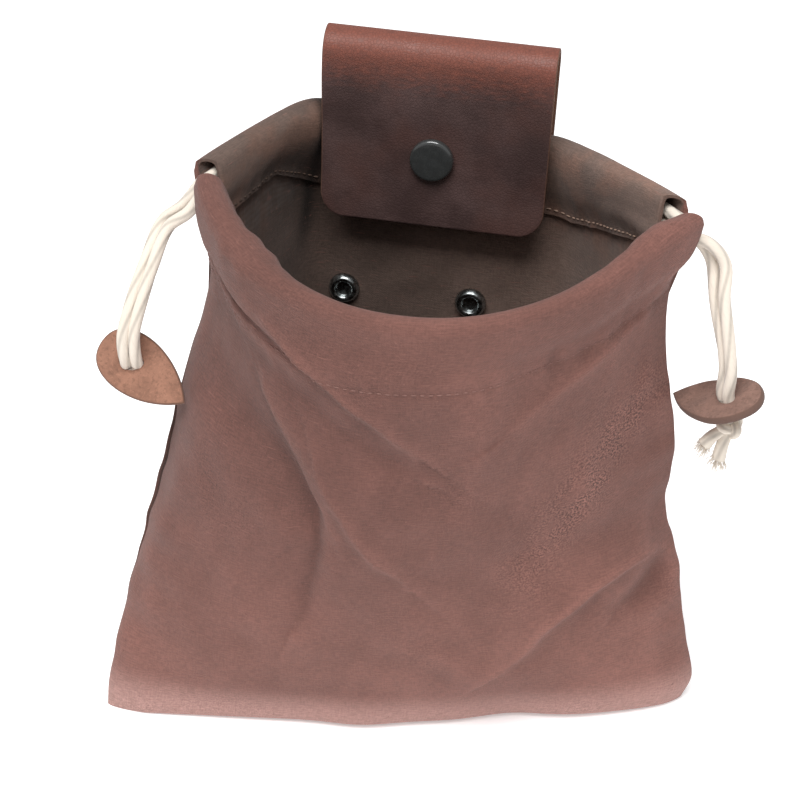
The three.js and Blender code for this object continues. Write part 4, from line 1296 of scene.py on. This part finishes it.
def toggle_mesh(name, place, cords):
    """A leaf of thick raw leather with a soft edge, a slight bow and a hole for the cord"""
    hole = place["hole"] * MM
    slant = np.array(Matrix.Rotation(math.radians(place["slant"]), 2))
    outline = leaf_outline(cords)
    angles = np.arctan2(outline[:, 1], outline[:, 0] - hole) - math.radians(place["slant"])
    thick = cords.toggle_thickness / 2
    points, cut = [], []
    for corner, angle in zip(outline, angles):
        rim = slant @ np.array((HOLE[0] * math.cos(angle), HOLE[1] * math.sin(angle))) + (hole, 0)
        radial = unit(corner - rim)
        edge = corner - radial * LEAF_EDGE
        ring = [(*(rim + (edge - rim) * s), thick, 0.0) for s in np.linspace(0, 1, 16)]
        for a in np.linspace(0, math.pi, 9)[1:-1]:
            reach = edge + radial * LEAF_EDGE * math.sin(a)
            ring.append((*reach, thick * math.cos(a), 1.0))
        ring += [(*(rim + (edge - rim) * s), -thick, 0.0) for s in np.linspace(1, 0, 16)]
        points.append([row[:3] for row in ring])
        cut.append([row[3] for row in ring])
    points = np.array(points)
    along, across = points[..., 0], points[..., 1]
    points[..., 2] += 0.78 * MM * (along / (cords.toggle_length / 2)) ** 2 * np.sign(along)
    points[..., 2] += 0.25 * MM * ripple(along, across, 12 * MM, 8)
    flat = placed(toggle_frame(place), points.reshape(-1, 3))
    return mesh_of(name, flat, torus_faces(*points.shape[:2]), 60, {"cut": np.array(cut)})


def torus_faces(rings, sides):
    ring, side = np.arange(rings)[:, None], np.arange(sides)[None, :]
    after, beside = (ring + 1) % rings, (side + 1) % sides
    corners = (ring * sides + side, ring * sides + beside, after * sides + beside, after * sides + side)
    return np.stack(corners, axis=-1).reshape(-1, 4).tolist()


def knot_centre(place, cords):
    under = on_toggle(place, place["hole"] * MM, 0, -cords.toggle_thickness / 2 - 2 * MM)
    return under + np.array((0, 2 * MM, -KNOT - 3.5 * MM))


def cord_route(end, cords):
    """From the knot through the toggle, along the front casing, back along the back one and down again"""
    place, outward = TOGGLES[end], OUTWARD[end]
    below, inset = LANES[end]
    shares = np.linspace(0, 1, 26)
    front, back = (level(side, RIM - below, inset, shares) for side in (FRONT, BACK))
    if outward > 0:
        front, back = front[::-1], back[::-1]
    knot = knot_centre(place, cords)
    hole, thick = place["hole"] * MM, cords.toggle_thickness / 2

    def strand(step, first, rise):
        along = step * math.cos(math.radians(place["slant"]))
        across = step * math.sin(math.radians(place["slant"]))
        knot_top = knot + on_toggle(place, along, across, 0) - on_toggle(place, 0, 0, 0)
        knot_top[2] = knot[2] + 1.05 * KNOT + 0.9 * MM
        under = on_toggle(place, hole + along, across, -thick - 0.5 * MM)
        over = on_toggle(place, hole + along, across, thick + 0.5 * MM)
        above = over + np.array((0, -0.5, 12)) * MM
        high = first + np.array((outward * place["reach"], 0, rise - 7)) * MM
        middle = (high + above) / 2 + np.array((outward * place["bow"], 0, 6)) * MM
        mouth = first + np.array((outward * 6.5, 0, rise)) * MM
        return [knot_top, under, over, above, middle, high, mouth]

    front_end = front[0] + np.array((outward * 1.2, 2.3, 0)) * MM
    back_end = back[0] + np.array((outward * 1.2, -2.3, 0)) * MM
    route = strand(STRAND_STEP, front_end, place["front_rise"]) + [front_end, *front, *back[::-1], back_end]
    return np.array(route + strand(-STRAND_STEP, back_end, place["back_rise"])[::-1])


def transported(line):
    """Two cross directions along a line, turning no more than it does"""
    along = unit(np.gradient(line, axis=0))
    aside = np.cross(along[0], (0.0, 0.0, 1.0))
    if np.linalg.norm(aside) < 1e-3:
        aside = np.array((1.0, 0.0, 0.0))
    kept = []
    for direction in along:
        aside = unit(aside - direction * np.dot(aside, direction))
        kept.append(aside)
    kept = np.array(kept)
    return kept, np.cross(along, kept)


def rope(line, radius, twist, sides=21, strands=3):
    """Points, faces, crests and a map of a twisted rope along an evenly spaced line"""
    aside, over = transported(line)
    run = run_along(line)
    angle = np.linspace(0, 2 * math.pi, sides, endpoint=False)
    phase = angle[None, :] - 2 * math.pi * run[:, None] / twist
    crest = np.abs(np.cos(strands / 2 * phase))
    reach = np.broadcast_to(np.asarray(radius).reshape(-1, 1), crest.shape) * (0.86 + 0.16 * crest**0.4)
    cosine, sine = np.cos(angle)[None, :, None], np.sin(angle)[None, :, None]
    cross = cosine * aside[:, None, :] + sine * over[:, None, :]
    points = line[:, None, :] + cross * reach[..., None]
    around = np.broadcast_to(angle * np.mean(radius), crest.shape)
    yarn = np.stack((around, np.broadcast_to(run[:, None], crest.shape)), axis=-1)
    return points.reshape(-1, 3), tube_faces(len(line), sides), crest.ravel(), yarn.reshape(-1, 2)


def joined_ropes(name, ropes):
    """One mesh from several ropes"""
    points, faces, crest, yarn = [], [], [], []
    first = 0
    for part in ropes:
        points.append(part[0])
        faces += [[corner + first for corner in face] for face in part[1]]
        crest.append(part[2])
        yarn.append(part[3])
        first += len(part[0])
    maps = {"yarn": np.concatenate(yarn)}
    return mesh_of(name, np.concatenate(points), faces, 70, {"crest": np.concatenate(crest)}, maps)


def knot_line():
    """An overhand knot's closed course about its centre"""
    t = np.linspace(0, 2 * math.pi, 120)
    x, y = np.sin(t) + 2 * np.sin(2 * t), np.cos(t) - 2 * np.cos(2 * t)
    return np.column_stack((x, y, -1.6 * np.sin(3 * t))) * (KNOT - 1.4 * MM) / 3.2


def knot_mesh(name, end, cords):
    """The knot under a toggle with the cord's two tails"""
    centre = knot_centre(TOGGLES[end], cords)
    radius = cords.diameter / 2
    tilt = np.array(Matrix.Rotation(0.9, 3, "X") @ Matrix.Rotation(0.5, 3, "Z"))
    ropes = [rope(evenly(knot_line() @ tilt.T + centre, 0.5 * MM), radius * PACKED, cords.twist)]
    for tail in tail_lines(end, centre):
        share = np.linspace(0, 1, len(tail))
        ropes.append(rope(tail, radius * (PACKED + 0.3 * share), cords.twist * 1.4))
    return joined_ropes(name, ropes)


def tail_lines(end, centre):
    """The courses of the two tails, which start inside the knot and droop a little"""
    lines = []
    for tail in TAILS[end]:
        tip = np.array(tail) * MM
        bend = tip * 0.55 + np.array((tail[0], tail[1], 0)) * 0.15 * MM
        lines.append(evenly(curve_through((centre, centre + bend, centre + tip)), 0.5 * MM))
    return lines


def stitch_tree(material):
    """Lays a rounded stitch on every point, along the seam and flat on the cloth"""
    growth = Growth("seam_stitches", "Length", "Width")
    axes = {"Primary Axis": growth.stored("along"), "Secondary Axis": growth.stored("out")}
    turn = growth.node("FunctionNodeAxesToRotation", {"primary_axis": "X", "secondary_axis": "Z"}, axes)
    bead = growth.node("GeometryNodeMeshUVSphere", inputs={"Segments": 8, "Rings": 6, "Radius": 0.5})
    width = growth.given("Width")
    size = growth.node("ShaderNodeCombineXYZ", inputs={0: growth.given("Length"), 1: width, 2: width})
    vary = growth.random_vector((0.85, 0.85, 0.7), (1.12, 1.15, 1.1), 7)
    scale = growth.node("ShaderNodeVectorMath", {"operation": "MULTIPLY"}, {0: size, 1: vary})
    return growth.ended(growth.laid(bead, turn, scale), material)


def fibre_tree(material):
    """Grows a thin bent fibre from every point along its own direction"""
    growth = Growth("frayed_fibres", "Length", "Thickness")
    line = growth.node("GeometryNodeCurvePrimitiveLine", inputs={"Start": (0, 0, 0), "End": (0, 0, 1)})
    course = growth.node("GeometryNodeResampleCurve", inputs={"Curve": line, "Count": 7})
    along = {"Vector": growth.stored("along")}
    turn = growth.node("FunctionNodeAlignRotationToVector", {"axis": "Z"}, along)
    shares = {2: 0.45, 3: 1.1, "Seed": 3}
    vary = growth.node("FunctionNodeRandomValue", {"data_type": "FLOAT"}, shares, output=1)
    fibres = growth.laid(course, turn, growth.given("Length") * vary)
    sway = growth.random_vector(*(np.array(((-1.6, -1.6, -2.2), (1.6, 1.6, 0.6))) * MM), 9)
    marked = growth.node(
        "GeometryNodeStoreNamedAttribute",
        {"data_type": "FLOAT_VECTOR", "domain": "INSTANCE"},
        {"Geometry": fibres, "Name": "sway", "Value": sway},
    )
    share = growth.node("GeometryNodeSplineParameter")
    push = {0: growth.stored("sway"), "Scale": share * share}
    offset = growth.node("ShaderNodeVectorMath", {"operation": "SCALE"}, push)
    bent = growth.node(
        "GeometryNodeSetPosition", inputs={"Geometry": growth.plain(marked), "Offset": offset}
    )
    radius = growth.given("Thickness") * 0.5
    section = growth.node("GeometryNodeCurvePrimitiveCircle", inputs={"Resolution": 5, "Radius": radius})
    swept = {"Curve": bent, "Profile Curve": section, "Fill Caps": True}
    return growth.ended(growth.node("GeometryNodeCurveToMesh", inputs=swept), material)


def grown(name, points, directions, tree, sizes):
    """A plain mesh that a Geometry Nodes tree makes on points with directions"""
    mesh = bpy.data.meshes.new(name + "_points")
    mesh.from_pydata(np.asarray(points).tolist(), [], [])
    for title, data in directions.items():
        layer = mesh.attributes.new(title, "FLOAT_VECTOR", "POINT")
        layer.data.foreach_set("vector", np.ravel(data).astype(np.float32))
    seed = bpy.data.objects.new(name + "_points", mesh)
    bpy.context.scene.collection.objects.link(seed)
    modifier = seed.modifiers.new("grow", "NODES")
    modifier.node_group = tree
    for item in tree.interface.items_tree:
        if item.in_out == "INPUT" and item.name in sizes:
            modifier[item.identifier] = sizes[item.name]
    graph = bpy.context.evaluated_depsgraph_get()
    result = bpy.data.meshes.new_from_object(seed.evaluated_get(graph))
    result.name = name
    bpy.data.objects.remove(seed)
    made = bpy.data.objects.new(name, result)
    bpy.context.scene.collection.objects.link(made)
    return made


def stitch_row(side, inset, spacing, face):
    """Places, seam directions and outward directions of one row of hem stitches"""
    shares = np.linspace(0.012, 0.988, 240)
    rows, _ = wall(side, [(RIM - STITCH_BELOW, inset)], shares)
    line = evenly(rows[0], spacing)
    along = unit(np.gradient(line, axis=0))
    out = face * across_wall(side, line[None])[0]
    return line, along, out


class POUCH_OT_canvas(Operator):
    """Sew the two canvas walls with their turned hems"""

    bl_idname = "pouch.canvas"
    bl_label = "Canvas Walls"

    def execute(self, context):
        cloth = context.scene.pouch_cloth
        material = canvas_finish(cloth)
        for name, side, node in (("front_cloth", FRONT, "front_panel"), ("back_cloth", BACK, "back_panel")):
            made = new_object(name, panel_mesh(name, side, cloth.thickness), material)
            finished(made, "canvas", node)
        return {"FINISHED"}


class POUCH_OT_stitches(Operator):
    """Stitch the hems on both faces of both walls"""

    bl_idname = "pouch.stitches"
    bl_label = "Hem Stitches"

    def execute(self, context):
        cloth = context.scene.pouch_cloth
        # each row's last value is the share that painted shade darkens its thread to at the left
        faces = (
            ("outer", 0.0, 1, cloth.outer_thread, 0.85),
            ("inner", 2.2 * cloth.thickness, -1, cloth.inner_thread, 0.4),
        )
        for name, inset, face, colour, darkest_shade in faces:
            tree = stitch_tree(thread_finish(f"{name}_thread", colour, darkest_shade))
            rows = [stitch_row(side, inset, cloth.spacing, face) for side in (FRONT, BACK)]
            points, along, out = (np.concatenate(parts) for parts in zip(*rows))
            sizes = {"Length": cloth.stitch, "Width": cloth.thread}
            made = grown(f"{name}_stitches", points, {"along": along, "out": out}, tree, sizes)
            finished(made, "canvas")
        return {"FINISHED"}


class POUCH_OT_loop(Operator):
    """Fold the leather belt loop"""

    bl_idname = "pouch.loop"
    bl_label = "Belt Loop"

    def execute(self, context):
        leather = context.scene.pouch_leather
        made = new_object("leather_loop", strap_mesh("leather_loop", leather), leather_finish(leather))
        finished(made, "leather", "belt_loop")
        return {"FINISHED"}


class POUCH_OT_snaps(Operator):
    """Set the capped snap and the two ring snaps"""

    bl_idname = "pouch.snaps"
    bl_label = "Snaps"

    def execute(self, context):
        leather = context.scene.pouch_leather
        canvas = context.scene.pouch_cloth.thickness
        enamel, steel = snap_finish(leather), ring_finish(leather)
        pieces = [("cap_snap", cap_profile(leather), SNAP_AT, "snap_cap", enamel)]
        pieces.append(("stud_snap", stud_profile(leather), SNAP_AT, "snap_stud", steel))
        for end, at in RINGS_AT.items():
            pieces.append((f"ring_{end}", ring_profile(leather, canvas), at, f"ring_snap_{end}", steel))
        for name, profile, at, node, material in pieces:
            finished(new_object(name, turned_mesh(name, profile, at, leather), material), "snap", node)
        return {"FINISHED"}


class POUCH_OT_toggles(Operator):
    """Cut the leaf toggles"""

    bl_idname = "pouch.toggles"
    bl_label = "Leaf Toggles"

    def execute(self, context):
        cords = context.scene.pouch_cords
        tints = {"left": cords.left_toggle, "right": cords.right_toggle}
        for end, place in TOGGLES.items():
            name = f"leaf_{end}"
            material = toggle_finish(f"raw_leather_{end}", tints[end])
            finished(new_object(name, toggle_mesh(name, place, cords), material), "toggle", f"toggle_{end}")
        return {"FINISHED"}


class POUCH_OT_knots(Operator):
    """Tie the knots and fray their tails"""

    bl_idname = "pouch.knots"
    bl_label = "Knots"

    def execute(self, context):
        cords = context.scene.pouch_cords
        cotton = cotton_finish(cords)
        tree = fibre_tree(fibre_finish(cords))
        for end in TOGGLES:
            name = f"tied_knot_{end}"
            finished(new_object(name, knot_mesh(name, end, cords), cotton), "cord", f"knot_{end}")
            finished(self.fray(end, cords, tree), "cord")
        return {"FINISHED"}

    def fray(self, end, cords, tree):
        random = np.random.default_rng(17 + OUTWARD[end])
        points, along = [], []
        for tail in tail_lines(end, knot_centre(TOGGLES[end], cords)):
            heading = unit(tail[-1] - tail[-4])
            spread = random.normal(0, 1, (HAIRS, 3))
            spread -= np.outer(spread @ heading, heading)
            points.append(tail[-1] - heading * 1.2 * MM + spread * 0.75 * MM)
            along.append(unit(heading + spread * 0.3))
        sizes = {"Length": cords.fibre, "Thickness": HAIR}
        return grown(f"frayed_{end}", np.concatenate(points), {"along": np.concatenate(along)}, tree, sizes)


class POUCH_OT_cords(Operator):
    """Thread the two drawcords"""

    bl_idname = "pouch.cords"
    bl_label = "Drawcords"

    def execute(self, context):
        cords = context.scene.pouch_cords
        cotton = bpy.data.materials["cotton_cord"]
        for end in TOGGLES:
            line = evenly(curve_through(cord_route(end, cords)), 0.6 * MM)
            name = f"cotton_cord_{end}"
            mesh = joined_ropes(name, [rope(line, cords.diameter / 2, cords.twist)])
            made = new_object(name, mesh, cotton)
            finished(made, "cord", f"drawcord_{end}")
        return {"FINISHED"}


class POUCH_OT_stage(Operator):
    """Set the floor, the light and the camera"""

    bl_idname = "pouch.stage"
    bl_label = "Stage"

    def execute(self, context):
        stage = context.scene.pouch_stage
        self.floor(stage)
        self.light(context.scene, stage)
        self.camera(context.scene, stage)
        context.scene.view_settings.view_transform = "Standard"
        return {"FINISHED"}

    def floor(self, stage):
        corners = [(x * FLOOR_HALF, y * FLOOR_HALF, 0) for x, y in ((-1, -1), (1, -1), (1, 1), (-1, 1))]
        mesh = bpy.data.meshes.new("floor")
        mesh.from_pydata(corners, [], [(0, 1, 2, 3)])
        new_object("floor", mesh, floor_finish(stage))

    def light(self, scene, stage):
        scene.world = bpy.data.worlds.new("studio")
        scene.world.use_nodes = True
        sky = scene.world.node_tree.nodes["Background"]
        sky.inputs["Color"].default_value = (1, 1, 1, 1)
        sky.inputs["Strength"].default_value = stage.sky
        lamp = bpy.data.lights.new("overhead", "AREA")
        lamp.shape = "RECTANGLE"
        lamp.size, lamp.size_y = LAMP_SIZE
        lamp.energy = stage.overhead
        hung = bpy.data.objects.new("overhead", lamp)
        hung.location = LAMP_AT
        hung.rotation_euler = (-Vector(hung.location)).to_track_quat("-Z", "Y").to_euler()
        scene.collection.objects.link(hung)

    def camera(self, scene, stage):
        lens = bpy.data.cameras.new("camera")
        lens.lens = stage.lens
        lens.sensor_width = SENSOR
        lens.sensor_fit = "HORIZONTAL"
        lens.clip_start, lens.clip_end = 0.05, 20
        seen = bpy.data.objects.new("camera", lens)
        level_run = math.cos(stage.elevation)
        side, front = math.sin(stage.azimuth), math.cos(stage.azimuth)
        back = Vector((side * level_run, -front * level_run, math.sin(stage.elevation)))
        seen.location = Vector(AIM) * MM + back * stage.distance
        seen.rotation_euler = (-back).to_track_quat("-Z", "Y").to_euler()
        scene.collection.objects.link(seen)
        scene.camera = seen


STEPS = (
    POUCH_OT_stage, POUCH_OT_toggles, POUCH_OT_knots, POUCH_OT_cords,
    POUCH_OT_canvas, POUCH_OT_stitches, POUCH_OT_loop, POUCH_OT_snaps,
)
GROUPS = {
    "pouch_cloth": PouchCloth,
    "pouch_leather": PouchLeather,
    "pouch_cords": PouchCords,
    "pouch_stage": PouchStage,
}


class POUCH_PT_sidebar(Panel):
    """Lists the pouch's pieces in the order they are made"""

    bl_idname = "POUCH_PT_sidebar"
    bl_label = "Belt Pouch"
    bl_space_type = "VIEW_3D"
    bl_region_type = "UI"
    bl_category = "Pouch"

    def draw(self, context):
        for step in STEPS:
            self.layout.operator(step.bl_idname)
        for name, group in GROUPS.items():
            box = self.layout.box()
            for setting in group.__annotations__:
                box.prop(getattr(context.scene, name), setting)


def register():
    for made in (*GROUPS.values(), *STEPS, POUCH_PT_sidebar):
        bpy.utils.register_class(made)
    for name, group in GROUPS.items():
        setattr(bpy.types.Scene, name, PointerProperty(type=group))


def unregister():
    for name in GROUPS:
        delattr(bpy.types.Scene, name)
    for made in reversed((*GROUPS.values(), *STEPS, POUCH_PT_sidebar)):
        bpy.utils.unregister_class(made)


def main():
    register()
    bpy.ops.pouch.stage()
    bpy.ops.pouch.toggles()
    bpy.ops.pouch.knots()
    bpy.ops.pouch.cords()
    bpy.ops.pouch.canvas()
    bpy.ops.pouch.stitches()
    bpy.ops.pouch.loop()
    bpy.ops.pouch.snaps()


if __name__ == "__main__":
    main()
